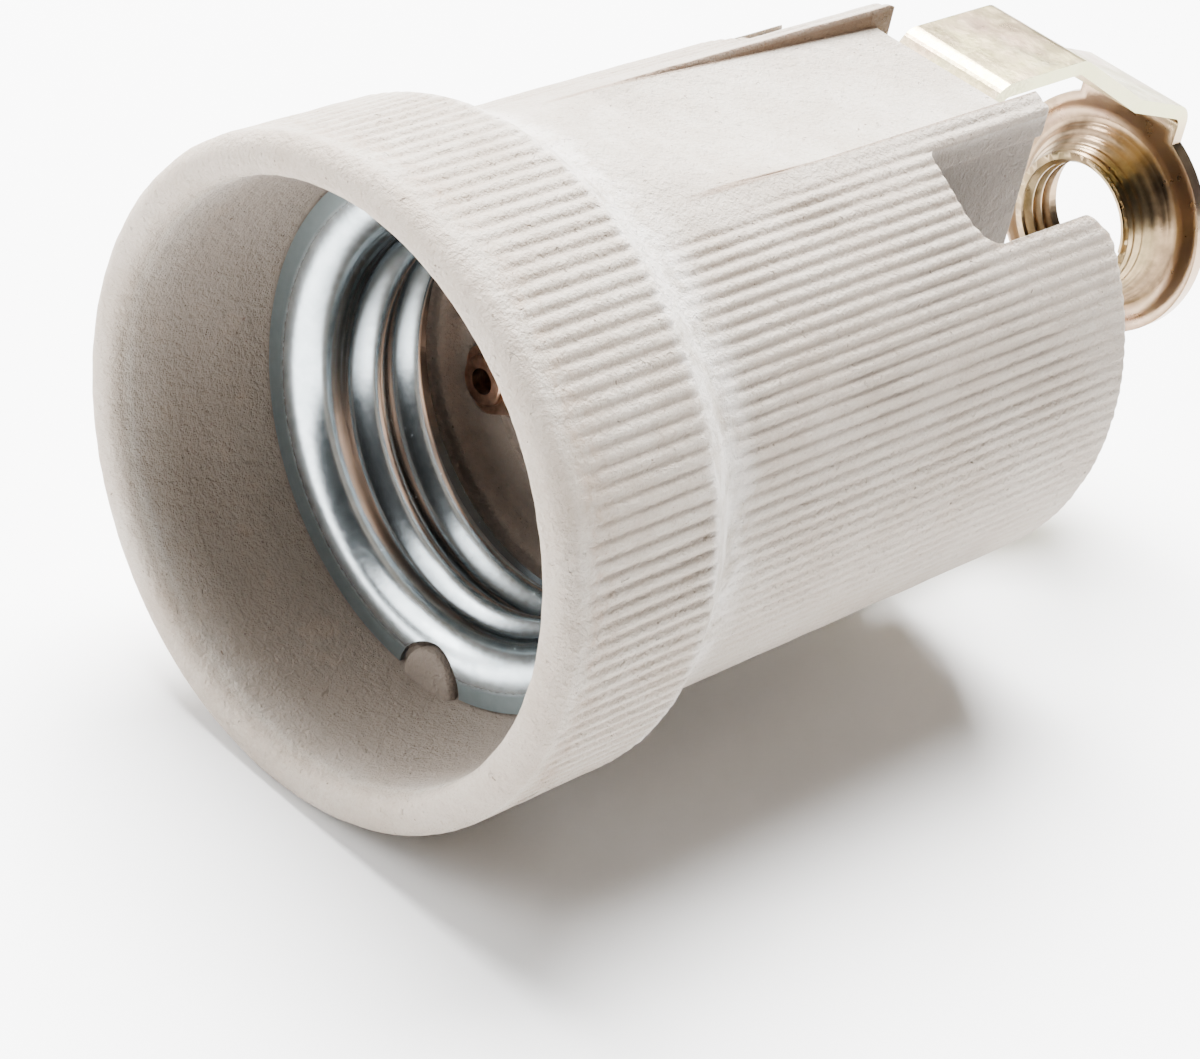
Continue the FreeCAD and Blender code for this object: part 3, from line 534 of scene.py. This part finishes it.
def porcelain():
    """The ribbed porcelain body with everything that is cut into its back."""
    piece = lathe("ribbed_porcelain_body")
    join_into(piece, key_piece())
    sides = (-1, 1)
    cut(piece, [chamber_cutter(s) for s in sides] + [slot_cutter(s) for s in sides])
    holes = []
    for s in sides:
        holes.append(notch_cutter(s))
        holes.append(seat_cutter(s))
        holes.append(drill(0, s * BOLT_OFFSET, NUT_POCKET / math.cos(math.pi / 6),
                           FLOOR_DEPTH - 0.5, NUT_POCKET_END, 6, math.pi / 2))
        holes.append(drill(s * CLAMP_X, CLAMP_Z, WELL_RADIUS, WELL_END, CHAMBER_FLOOR + 0.5))
    cut(piece, holes)
    holes = []
    for s in sides:
        holes.append(drill(0, s * BOLT_OFFSET, BOLT_HOLE, NUT_POCKET_END - 0.5, FOOT_SEAT + 0.5))
        holes.append(drill(s * RIVET_REACH * math.cos(RIVET_ANGLE),
                           -RIVET_REACH * math.sin(RIVET_ANGLE), RIVET_HOLE,
                           FLOOR_DEPTH - 0.5, CHAMBER_FLOOR + 0.5))
    cut(piece, holes)
    shade(piece, 42)
    return piece


# ------------------------------------------------------------------ screw shell

def shell_sheet(angles):
    """Inner surface of the rolled sheet: rings of (radius, depth) for each angle."""
    rows = []
    front = FLANGE_SEAT - SHEET
    for radius in np.linspace(SHELL_FLANGE, SHELL_ROUND_START, 4):
        rows.append((np.full(len(angles), radius), np.full(len(angles), front)))
    sweep = SHELL_ROUND_START - THREAD_ROOT
    for t in np.linspace(0, math.pi / 2, 17)[1:]:
        rows.append((np.full(len(angles), SHELL_ROUND_START - sweep * math.sin(t)),
                     np.full(len(angles), front + SHELL_ROUND_DEPTH * (1 - math.cos(t)))))
    lead = THREAD_PITCH * (angles / (2 * math.pi))
    begin = front + SHELL_ROUND_DEPTH
    for depth in np.linspace(begin + 0.12, SHELL_DEPTH, 64):
        phase = 2 * math.pi * (depth - FIRST_CREST - lead) / THREAD_PITCH
        wave = 0.5 + 0.5 * np.cos(phase)
        strength = smooth_step(begin + 0.05, begin + 1.3, depth) * (
            1 - smooth_step(SHELL_DEPTH - 1.6, SHELL_DEPTH - 0.7, depth))
        radius = THREAD_ROOT - (THREAD_ROOT - THREAD_CREST) * wave * strength
        rows.append((radius, np.full(len(angles), depth)))
    return rows


def screw_shell():
    """Rolled shell with a helical thread, its flange notched for the key."""
    count = 256
    angles = np.arange(count) * 2 * math.pi / count
    start = math.radians(-90)
    rows = shell_sheet((angles - start) % (2 * math.pi) - math.pi)
    section = np.array([np.stack([r, d], 1) for r, d in rows])
    slope = np.gradient(section, axis=0)
    normal = np.stack([slope[..., 1], -slope[..., 0]], -1)
    normal /= np.linalg.norm(normal, axis=-1, keepdims=True)
    outer = section + normal * SHEET
    both = np.concatenate([section, outer[::-1]])
    rings = [np.stack([np.sin(angles) * ring[:, 0], ring[:, 1], np.cos(angles) * ring[:, 0]], 1)
             for ring in both]
    faces = []
    total = len(rings)
    for row in range(total):
        for i in range(count):
            j = (i + 1) % count
            a, b = row * count, (row + 1) % total * count
            faces.append((a + i, a + j, b + j, b + i))
    piece = new_object("rolled_screw_shell", np.concatenate(rings), faces)
    cut(piece, [drill(*KEY_PLACE, KEY_RADIUS + KEY_CLEARANCE,
                      FLANGE_SEAT - 1.4, FLANGE_SEAT + 1.4, 48)])
    shade(piece, 50)
    return piece


def thread_ridge(name, radius, height, pitch, start, end):
    """Helical ridge that stands out from a bore of this radius towards the axis."""
    steps = 40
    count = int((end - start) / pitch * steps)
    rings = []
    for k in range(count + 1):
        turn = 2 * math.pi * k / steps
        middle = start + pitch * k / steps
        taper = min(1.0, k / steps * 2, (count - k) / steps * 2)
        out = (math.cos(turn), math.sin(turn))
        section = [(radius + 0.25, -0.46 * pitch), (radius + 0.02, -0.42 * pitch),
                   (radius - height * taper, -0.06 * pitch),
                   (radius - height * taper, 0.06 * pitch), (radius + 0.02, 0.42 * pitch),
                   (radius + 0.25, 0.46 * pitch)]
        rings.append(np.array([(r * out[0], middle + d, r * out[1]) for r, d in section]))
    piece = skin(name, rings)
    shade(piece, 30)
    return piece


def bracket():
    """Mounting bracket: the CAD form with the drawn collar thinned towards its tip."""
    mesh = frame["nodes"]["mounting_bracket"].data.copy()
    work = bmesh.new()
    work.from_mesh(mesh)
    bmesh.ops.remove_doubles(work, verts=work.verts, dist=0.0005 * MM)
    work.to_mesh(mesh)
    work.free()
    piece = bpy.data.objects.new("bracket_with_drawn_collar", mesh)
    bpy.context.scene.collection.objects.link(piece)
    profile = []
    for depth in np.linspace(COLLAR_TIP - 0.5, DISC_FRONT + 0.02, 30):
        share = np.clip((depth - COLLAR_TIP) / (DISC_FRONT - COLLAR_TIP), 0, 1)
        ripple = 0.05 * math.sin(2 * math.pi * depth / 0.62)
        profile.append((COLLAR_TIP_RADIUS + COLLAR_FLARE * share ** 1.9 + ripple, depth))
    section = profile + [(8.0, DISC_FRONT + 0.02), (8.0, COLLAR_TIP - 0.5)]
    turns, count = 96, len(section)
    rings = [[(r * math.sin(t), d, r * math.cos(t)) for r, d in section]
             for t in np.arange(turns) * 2 * math.pi / turns]
    faces = [(a * count + i, a * count + (i + 1) % count,
              (a + 1) % turns * count + (i + 1) % count, (a + 1) % turns * count + i)
             for a in range(turns) for i in range(count)]
    cut(piece, [new_object("collar_cutter", np.array(rings).reshape(-1, 3), faces)])
    shade(piece, 35)
    return piece


# ------------------------------------------------------------------ materials

def new_material(name):
    """Material with a node tree that holds only a shader and the output."""
    material = bpy.data.materials.new(name)
    material.use_nodes = True
    return material, material.node_tree, material.node_tree.nodes["Principled BSDF"]


def place_nodes(tree, scale):
    """Object coordinates scaled so that one unit is the given length in millimetres."""
    coordinates = tree.nodes.new("ShaderNodeTexCoord")
    mapping = tree.nodes.new("ShaderNodeMapping")
    mapping.inputs["Scale"].default_value = (1 / (scale * MM),) * 3
    tree.links.new(coordinates.outputs["Object"], mapping.inputs["Vector"])
    return mapping.outputs["Vector"]


def noise_value(tree, scale, detail=3.0, roughness=0.55):
    """Noise whose blotches are about as large as scale, in millimetres."""
    node = tree.nodes.new("ShaderNodeTexNoise")
    node.inputs["Scale"].default_value = 1.0
    node.inputs["Detail"].default_value = detail
    node.inputs["Roughness"].default_value = roughness
    tree.links.new(place_nodes(tree, scale), node.inputs["Vector"])
    return node.outputs["Fac"]


def ramp(tree, value, *stops):
    """Colour ramp through (place, colour) stops."""
    node = tree.nodes.new("ShaderNodeValToRGB")
    band = node.color_ramp
    while len(band.elements) < len(stops):
        band.elements.new(0.5)
    for element, (place, colour) in zip(band.elements, stops):
        element.position = place
        element.color = (*colour, 1)
    tree.links.new(value, node.inputs["Fac"])
    return node.outputs["Color"]


def grey(value):
    """Colour with three equal parts."""
    return (value, value, value)


def mix(tree, share, one, other, blend="MIX"):
    """Mix of two colours; each of the three may be a socket or a plain value."""
    node = tree.nodes.new("ShaderNodeMix")
    node.data_type = "RGBA"
    node.blend_type = blend
    for value, inlet in ((share, node.inputs[0]), (one, node.inputs[6]), (other, node.inputs[7])):
        if isinstance(value, bpy.types.NodeSocket):
            tree.links.new(value, inlet)
        else:
            inlet.default_value = (*value, 1) if isinstance(value, tuple) else value
    return node.outputs[2]


def math_node(tree, operation, one, other=0.0):
    """Arithmetic on sockets or numbers."""
    node = tree.nodes.new("ShaderNodeMath")
    node.operation = operation
    for value, inlet in ((one, node.inputs[0]), (other, node.inputs[1])):
        if isinstance(value, bpy.types.NodeSocket):
            tree.links.new(value, inlet)
        else:
            inlet.default_value = value
    return node.outputs[0]


def bump(tree, height, strength, distance, before=None):
    """Bump from a height, on top of an earlier one."""
    node = tree.nodes.new("ShaderNodeBump")
    node.inputs["Strength"].default_value = strength
    node.inputs["Distance"].default_value = distance * MM
    tree.links.new(height, node.inputs["Height"])
    if before is not None:
        tree.links.new(before, node.inputs["Normal"])
    return node.outputs["Normal"]


def axis_nodes(tree):
    """Radius about the axis, depth from the mouth and distance across, in millimetres."""
    coordinates = tree.nodes.new("ShaderNodeTexCoord")
    split = tree.nodes.new("ShaderNodeSeparateXYZ")
    tree.links.new(coordinates.outputs["Object"], split.inputs["Vector"])
    height = math_node(tree, "SUBTRACT", split.outputs["Z"], AXIS_HEIGHT * MM)
    squares = math_node(tree, "ADD", math_node(tree, "MULTIPLY", height, height),
                        math_node(tree, "MULTIPLY", split.outputs["X"], split.outputs["X"]))
    radius = math_node(tree, "MULTIPLY", math_node(tree, "SQRT", squares), 1 / MM)
    depth = math_node(tree, "SUBTRACT",
                      math_node(tree, "MULTIPLY", split.outputs["Y"], 1 / MM), MOUTH_PLANE)
    across = math_node(tree, "ABSOLUTE",
                       math_node(tree, "MULTIPLY", split.outputs["X"], 1 / MM))
    return radius, depth, across


def above(tree, value, low, high):
    """0 below low, 1 above high."""
    node = tree.nodes.new("ShaderNodeMapRange")
    node.interpolation_type = "SMOOTHSTEP"
    node.inputs["From Min"].default_value = low
    node.inputs["From Max"].default_value = high
    tree.links.new(value, node.inputs["Value"])
    return node.outputs["Result"]


def below(tree, value, low, high):
    """1 below low, 0 above high."""
    return math_node(tree, "SUBTRACT", 1.0, above(tree, value, low, high))


def times(tree, *factors):
    """Product of sockets or numbers."""
    product = factors[0]
    for factor in factors[1:]:
        product = math_node(tree, "MULTIPLY", product, factor)
    return product


def tint(tree, base, mask, strength, colour):
    """The base colour with another one laid over it where the mask is high."""
    return mix(tree, times(tree, mask, strength), base, colour)


def near(tree, place, reach):
    """1 at a point given in millimetres about the axis, falling to 0 at the reach."""
    x, depth, z = place
    distance = tree.nodes.new("ShaderNodeVectorMath")
    distance.operation = "DISTANCE"
    distance.inputs[1].default_value = (x * MM, (depth + MOUTH_PLANE) * MM,
                                        (z + AXIS_HEIGHT) * MM)
    coordinates = tree.nodes.new("ShaderNodeTexCoord")
    tree.links.new(coordinates.outputs["Object"], distance.inputs[0])
    return below(tree, distance.outputs["Value"], 0.5 * reach * MM, reach * MM)


def hairlines(tree, scale, width):
    """Thin cracks: the borders of wandering cells."""
    cells = tree.nodes.new("ShaderNodeTexVoronoi")
    cells.feature = "DISTANCE_TO_EDGE"
    cells.inputs["Scale"].default_value = 1.0
    wander = tree.nodes.new("ShaderNodeTexNoise")
    wander.inputs["Scale"].default_value = 1.0
    wander.inputs["Detail"].default_value = 3.0
    tree.links.new(place_nodes(tree, scale * 0.6), wander.inputs["Vector"])
    shift = tree.nodes.new("ShaderNodeVectorMath")
    shift.operation = "MULTIPLY_ADD"
    shift.inputs[1].default_value = (0.9, 0.9, 0.9)
    tree.links.new(wander.outputs["Color"], shift.inputs[0])
    tree.links.new(place_nodes(tree, scale), shift.inputs[2])
    tree.links.new(shift.outputs["Vector"], cells.inputs["Vector"])
    return below(tree, cells.outputs["Distance"], width * 0.5, width * 1.5)


def grooves_mask(tree, radius, depth, across):
    """1 in the grooves between the ribs of the collar and the tail, off the strap slots."""
    tail = times(tree, above(tree, depth, 15.5, 16.5),
                 below(tree, radius, TAIL_RADIUS - TAIL_GROOVE, TAIL_RADIUS - 0.05),
                 above(tree, across, 6.8, 7.4))
    collar = times(tree, below(tree, depth, 11.4, 12.0),
                   below(tree, radius, MOUTH_RADIUS - COLLAR_GROOVE, MOUTH_RADIUS - 0.06))
    return math_node(tree, "MAXIMUM", tail, collar)


def porcelain_colour(tree, crack):
    """Warm off-white, darker in the grooves, along the tail and in the chambers, with painted
    shade in the socket, a painted highlight on the shoulder, and stains.
    """
    radius, depth, across = axis_nodes(tree)
    outside = above(tree, radius, TAIL_RADIUS - 0.5, TAIL_RADIUS - 0.4)
    base = ramp(tree, noise_value(tree, 5.0, 4.0),
                (0.32, (0.40, 0.345, 0.285)), (0.68, (0.50, 0.45, 0.39)))
    grain = ramp(tree, noise_value(tree, 0.22, 2.0, 0.7), (0.3, grey(0.84)), (0.7, grey(1.0)))
    base = mix(tree, 1.0, base, grain, "MULTIPLY")
    hollow = times(tree, grooves_mask(tree, radius, depth, across), outside)
    base = tint(tree, base, hollow, 0.4, (0.30, 0.235, 0.18))

    slot_wall = times(tree, above(tree, across, 5.95, 6.1), below(tree, across, 6.3, 6.6),
                      above(tree, depth, 19.0, 23.0), above(tree, radius, 16.6, 17.2))
    base = tint(tree, base, slot_wall, 0.85, (0.17, 0.105, 0.065))
    lip = times(tree, above(tree, depth, 1.2, 2.2), below(tree, depth, 2.6, 4.6), outside,
                above(tree, noise_value(tree, 1.0, 5.0, 0.65), 0.38, 0.66))
    base = tint(tree, base, lip, 0.5, (0.28, 0.20, 0.14))
    # Darker all along the tail's outside.
    darker_tail = times(tree, above(tree, depth, 15.0, 22.0), outside)
    base = tint(tree, base, darker_tail, 0.35, (0.33, 0.275, 0.225))
    # Painted highlight: wavy lighter patches on the smooth shoulder between the collar and the
    # tail.
    painted_shoulder_highlight = times(tree, above(tree, depth, 11.0, 12.2), below(tree, depth, 15.5, 18.5),
                     above(tree, noise_value(tree, 2.2, 4.0, 0.6), 0.35, 0.6), outside)
    base = tint(tree, base, painted_shoulder_highlight, 0.75, (0.66, 0.62, 0.58))

    # Painted shade: the mouth's bore and the socket's cavity are darkened, more so deeper in, and
    # a little less on the cavity's floor.
    mouth = times(tree, below(tree, radius, MOUTH_BORE - 0.6, MOUTH_BORE + 0.1), math_node(
        tree, "SUBTRACT", above(tree, depth, 0.8, 2.0), above(tree, depth, 12.2, 12.8)))
    cavity = times(tree, below(tree, radius, 15.4, 16.2), below(tree, depth, 28.0, 30.0))
    bore = math_node(tree, "MAXIMUM", mouth, cavity)
    base = tint(tree, base, bore, 0.85, (0.165, 0.132, 0.105))
    base = tint(tree, base, times(tree, bore, above(tree, depth, 7.0, 11.0)), 0.2,
                (0.105, 0.082, 0.064))
    base = tint(tree, base, times(tree, cavity, above(tree, depth, 22.0, 22.6)), 0.7,
                (0.26, 0.205, 0.165))
    chamber = times(tree, above(tree, depth, 30.0, 34.0), below(tree, radius, 17.9, 19.0),
                    above(tree, across, 6.6, 7.3))
    base = tint(tree, base, chamber, 0.75, (0.15, 0.12, 0.095))

    stain = above(tree, noise_value(tree, 3.4, 5.0, 0.62), 0.58, 0.74)
    base = tint(tree, base, stain, 0.16, (0.33, 0.24, 0.17))
    speck = above(tree, noise_value(tree, 0.42, 1.0, 0.4), 0.77, 0.80)
    base = tint(tree, base, speck, 0.75, (0.10, 0.07, 0.05))
    dust = above(tree, noise_value(tree, 0.25, 1.0, 0.4), 0.70, 0.76)
    base = tint(tree, base, dust, 0.4, (0.20, 0.16, 0.12))
    return tint(tree, base, crack, 0.7, (0.13, 0.095, 0.07))


def porcelain_material():
    """Unglazed porcelain with a fine grain, pits and a few hairline cracks."""
    material, tree, shader = new_material("unglazed_porcelain")
    crack = times(tree, hairlines(tree, 3.2, 0.02), near(tree, CRACKED_PLACE, 3.6))
    tree.links.new(porcelain_colour(tree, crack), shader.inputs["Base Color"])
    shader.inputs["Roughness"].default_value = 0.78
    shader.inputs["Specular IOR Level"].default_value = 0.32
    shader.inputs["Subsurface Weight"].default_value = 0.12
    shader.inputs["Subsurface Radius"].default_value = (1.2, 0.9, 0.7)
    shader.inputs["Subsurface Scale"].default_value = 0.8 * MM
    normal = bump(tree, noise_value(tree, 0.9, 4.0, 0.6), 0.8, 0.35)
    normal = bump(tree, noise_value(tree, 0.25, 3.0, 0.7), 1.0, 0.18, normal)
    pits = above(tree, noise_value(tree, 0.55, 2.0, 0.5), 0.68, 0.76)
    hollows = math_node(tree, "MAXIMUM", pits, crack)
    normal = bump(tree, times(tree, hollows, -1.0), 0.8, 0.16, normal)
    tree.links.new(normal, shader.inputs["Normal"])
    return material


def metal(name, dark, light, rough, blotch=2.0):
    """Worked metal whose colour and gloss vary softly."""
    material, tree, shader = new_material(name)
    base = ramp(tree, noise_value(tree, blotch, 4.0), (0.3, dark), (0.7, light))
    tree.links.new(base, shader.inputs["Base Color"])
    shader.inputs["Metallic"].default_value = 1.0
    gloss = above(tree, noise_value(tree, blotch * 0.6, 5.0, 0.65), 0.25, 0.8)
    spread = times(tree, gloss, rough[1] - rough[0])
    tree.links.new(math_node(tree, "ADD", spread, rough[0]), shader.inputs["Roughness"])
    normal = bump(tree, noise_value(tree, 0.25, 3.0), 0.25, 0.02)
    normal = bump(tree, noise_value(tree, blotch * 2, 2.0), 0.25, 0.12, normal)
    tree.links.new(normal, shader.inputs["Normal"])
    return material


def shell_material():
    """Zinc on rolled sheet: dull flange, bright crests and painted shade in the thread's valleys.
    """
    material, tree, shader = new_material("zinc_on_rolled_sheet")
    radius, depth, _ = axis_nodes(tree)
    base = ramp(tree, noise_value(tree, 0.9, 4.0),
                (0.3, (0.42, 0.475, 0.50)), (0.7, (0.53, 0.585, 0.61)))
    flange = above(tree, radius, SHELL_ROUND_START - 0.15, SHELL_ROUND_START + 0.2)
    base = tint(tree, base, flange, 0.85, (0.15, 0.18, 0.18))
    # Painted shade: the thread's valleys are darkened to stand for the dark bore that they
    # reflect.
    painted_valley_shade = times(tree, above(tree, depth, 13.2, 13.9),
                   above(tree, radius, THREAD_CREST + 0.3, THREAD_ROOT - 0.15))
    base = tint(tree, base, painted_valley_shade, 0.8, (0.085, 0.10, 0.11))
    tree.links.new(base, shader.inputs["Base Color"])
    shader.inputs["Metallic"].default_value = 1.0
    gloss = above(tree, noise_value(tree, 0.5, 5.0, 0.65), 0.25, 0.8)
    rough = math_node(tree, "ADD", times(tree, gloss, 0.08), times(tree, flange, 0.22))
    tree.links.new(math_node(tree, "ADD", rough, 0.2), shader.inputs["Roughness"])
    normal = bump(tree, noise_value(tree, 0.12, 3.0), 0.12, 0.02)
    normal = bump(tree, noise_value(tree, 1.8, 2.0), 0.12, 0.12, normal)
    tree.links.new(normal, shader.inputs["Normal"])
    return material


def chromate_material():
    """Yellow chromate over zinc: olive yellow with rose patches, browner at the collar."""
    material, tree, shader = new_material("yellow_chromate")
    radius, depth, across = axis_nodes(tree)
    base = ramp(tree, noise_value(tree, 6.0, 3.0, 0.6),
                (0.28, (0.47, 0.45, 0.22)), (0.44, (0.57, 0.50, 0.26)),
                (0.56, (0.60, 0.48, 0.30)), (0.70, (0.56, 0.38, 0.28)))
    wear = above(tree, noise_value(tree, 2.6, 4.0, 0.55), 0.5, 0.8)
    base = tint(tree, base, wear, 0.3, (0.62, 0.60, 0.48))
    disc = times(tree, above(tree, depth, 72.5, 73.5), below(tree, radius, 9.0, 12.0))
    base = tint(tree, base, disc, 0.75, (0.30, 0.19, 0.14))
    edge = times(tree, above(tree, across, 4.15, 4.24), above(tree, radius, 9.5, 12.0))
    base = tint(tree, base, edge, 0.7, (0.40, 0.42, 0.24))
    collar = times(tree, above(tree, depth, 68.5, 70.5), below(tree, radius, 6.7, 7.6))
    brown = ramp(tree, noise_value(tree, 2.4, 4.0, 0.6),
                 (0.35, (0.10, 0.065, 0.035)), (0.65, (0.34, 0.23, 0.13)))
    base = tint(tree, base, collar, 0.85, brown)
    smut = above(tree, noise_value(tree, 0.5, 5.0, 0.7), 0.58, 0.72)
    bend = below(tree, depth, 53.6, 55.6)
    rubbed = above(tree, noise_value(tree, 0.35, 4.0, 0.75), 0.42, 0.58)
    smut = math_node(tree, "MAXIMUM", times(tree, smut, 0.1),
                     times(tree, bend, rubbed, 0.4))
    base = tint(tree, base, smut, 0.85, (0.10, 0.075, 0.035))
    tree.links.new(base, shader.inputs["Base Color"])
    shader.inputs["Metallic"].default_value = 1.0
    gloss = above(tree, noise_value(tree, 1.6, 4.0, 0.6), 0.3, 0.75)
    tree.links.new(math_node(tree, "ADD", times(tree, gloss, 0.09), 0.27),
                   shader.inputs["Roughness"])
    normal = bump(tree, noise_value(tree, 2.2, 3.0), 0.35, 0.14)
    normal = bump(tree, noise_value(tree, 0.3, 3.0), 0.3, 0.02, normal)
    tree.links.new(normal, shader.inputs["Normal"])
    return material


MATERIALS = {
    "porcelain": porcelain_material(),
    "zinc_shell": shell_material(),
    "copper_contact": metal("copper_tongue", (0.36, 0.19, 0.115), (0.70, 0.45, 0.32),
                            (0.28, 0.45), 1.2),
    "copper_rivet": metal("copper_rivet", (0.32, 0.165, 0.10), (0.62, 0.38, 0.26),
                          (0.28, 0.45), 0.8),
    "brass_rivet": metal("brass_rivet", (0.55, 0.40, 0.18), (0.80, 0.64, 0.36), (0.25, 0.4)),
    "brass_terminal": metal("stamped_brass", (0.58, 0.44, 0.20), (0.82, 0.67, 0.38),
                            (0.26, 0.42)),
    "zinc_washer": metal("zinc_washer", (0.50, 0.51, 0.50), (0.72, 0.73, 0.72), (0.28, 0.42)),
    "zinc_screw": metal("zinc_screw", (0.48, 0.49, 0.48), (0.70, 0.71, 0.70), (0.25, 0.4)),
    "chromated_steel": chromate_material(),
    "zinc_bolt": metal("zinc_bolt", (0.50, 0.48, 0.40), (0.72, 0.69, 0.58), (0.26, 0.4)),
    "dark_spring_steel": metal("dark_spring_steel", (0.12, 0.12, 0.12), (0.26, 0.25, 0.24),
                               (0.3, 0.45)),
    "zinc_nut": metal("zinc_nut", (0.46, 0.47, 0.47), (0.68, 0.69, 0.69), (0.28, 0.42)),
}


def dress(piece, slot):
    """Give a piece the material of a slot."""
    piece.data.materials.clear()
    piece.data.materials.append(MATERIALS[slot])
    for polygon in piece.data.polygons:
        polygon.material_index = 0


def stand_for(piece, node, slot):
    """Finish a piece, let it ride with its body and hide the node that it stands for."""
    dress(piece, slot)
    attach(piece, HOLDER)
    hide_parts(node)


def dress_nodes():
    """Materials of the CAD nodes that are shown as they are."""
    for part in frame["record"]["subparts"]:
        node = frame["nodes"][part["node"]]
        for holder in node.material_slots:
            holder.material = MATERIALS[part["material_slot"]]
        if not node.material_slots:
            node.data.materials.append(MATERIALS[part["material_slot"]])


# ------------------------------------------------------------------ camera, floor, light

CAMERA_AT = (125.28, -166.74, 141.37)
CAMERA_TURN = 38.74
CAMERA_DOWN = 33.32
CAMERA_ROLL = 12.94
CAMERA_LENS = 111.05


def camera():
    """Camera at the viewing angle of the picture, close and looking down at the mouth."""
    data = bpy.data.cameras.new("camera")
    data.lens = CAMERA_LENS
    data.clip_start = 0.01
    view = bpy.data.objects.new("camera", data)
    turn = Matrix.Rotation(math.radians(CAMERA_TURN), 4, "Z")
    tilt = Matrix.Rotation(math.radians(90 - CAMERA_DOWN), 4, "X")
    roll = Matrix.Rotation(math.radians(CAMERA_ROLL), 4, "Z")
    view.matrix_world = Matrix.Translation(Vector(CAMERA_AT) * MM) @ turn @ tilt @ roll
    bpy.context.scene.collection.objects.link(view)
    bpy.context.scene.camera = view


def floor():
    """Plain pale floor."""
    half = 3.0
    mesh = bpy.data.meshes.new("floor")
    mesh.from_pydata([(-half, -half, 0), (half, -half, 0), (half, half, 0), (-half, half, 0)],
                     [], [(0, 1, 2, 3)])
    ground = bpy.data.objects.new("floor", mesh)
    bpy.context.scene.collection.objects.link(ground)
    material, _, shader = new_material("pale_floor")
    shader.inputs["Base Color"].default_value = (0.90, 0.90, 0.90, 1)
    shader.inputs["Roughness"].default_value = 0.9
    shader.inputs["Specular IOR Level"].default_value = 0.1
    mesh.materials.append(material)


def softbox(name, place, aim, size, power):
    """Square area light that looks at a point."""
    data = bpy.data.lights.new(name, "AREA")
    data.size = size
    data.energy = power
    lamp = bpy.data.objects.new(name, data)
    lamp.location = place
    lamp.rotation_euler = (Vector(aim) - Vector(place)).to_track_quat("-Z", "Y").to_euler()
    bpy.context.scene.collection.objects.link(lamp)


def lighting():
    """Large soft light from above and behind, two weak ones from the mouth's side."""
    world = bpy.data.worlds.new("studio")
    world.use_nodes = True
    world.node_tree.nodes["Background"].inputs["Color"].default_value = (1, 1, 1, 1)
    world.node_tree.nodes["Background"].inputs["Strength"].default_value = 0.06
    bpy.context.scene.world = world
    middle = (0, 0, 0.02)
    softbox("key_softbox", (-0.42, 0.22, 0.90), middle, 0.8, 128.0)
    softbox("side_softbox", (-0.66, -0.40, 0.20), middle, 0.6, 6.0)
    softbox("front_softbox", (-0.36, -0.50, 0.42), middle, 0.5, 6.0)


# ------------------------------------------------------------------ the scene

camera()
floor()
lighting()
dress_nodes()
stand_for(porcelain(), "porcelain_body", "porcelain")
stand_for(screw_shell(), "screw_shell", "zinc_shell")
stand_for(bracket(), "mounting_bracket", "chromated_steel")

tube_thread = thread_ridge("bracket_tube_thread", TUBE_BORE, TUBE_THREAD_HEIGHT, TUBE_PITCH,
                           TUBE_THREAD_START, TUBE_THREAD_END)
dress(tube_thread, "chromated_steel")
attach(tube_thread, HOLDER)
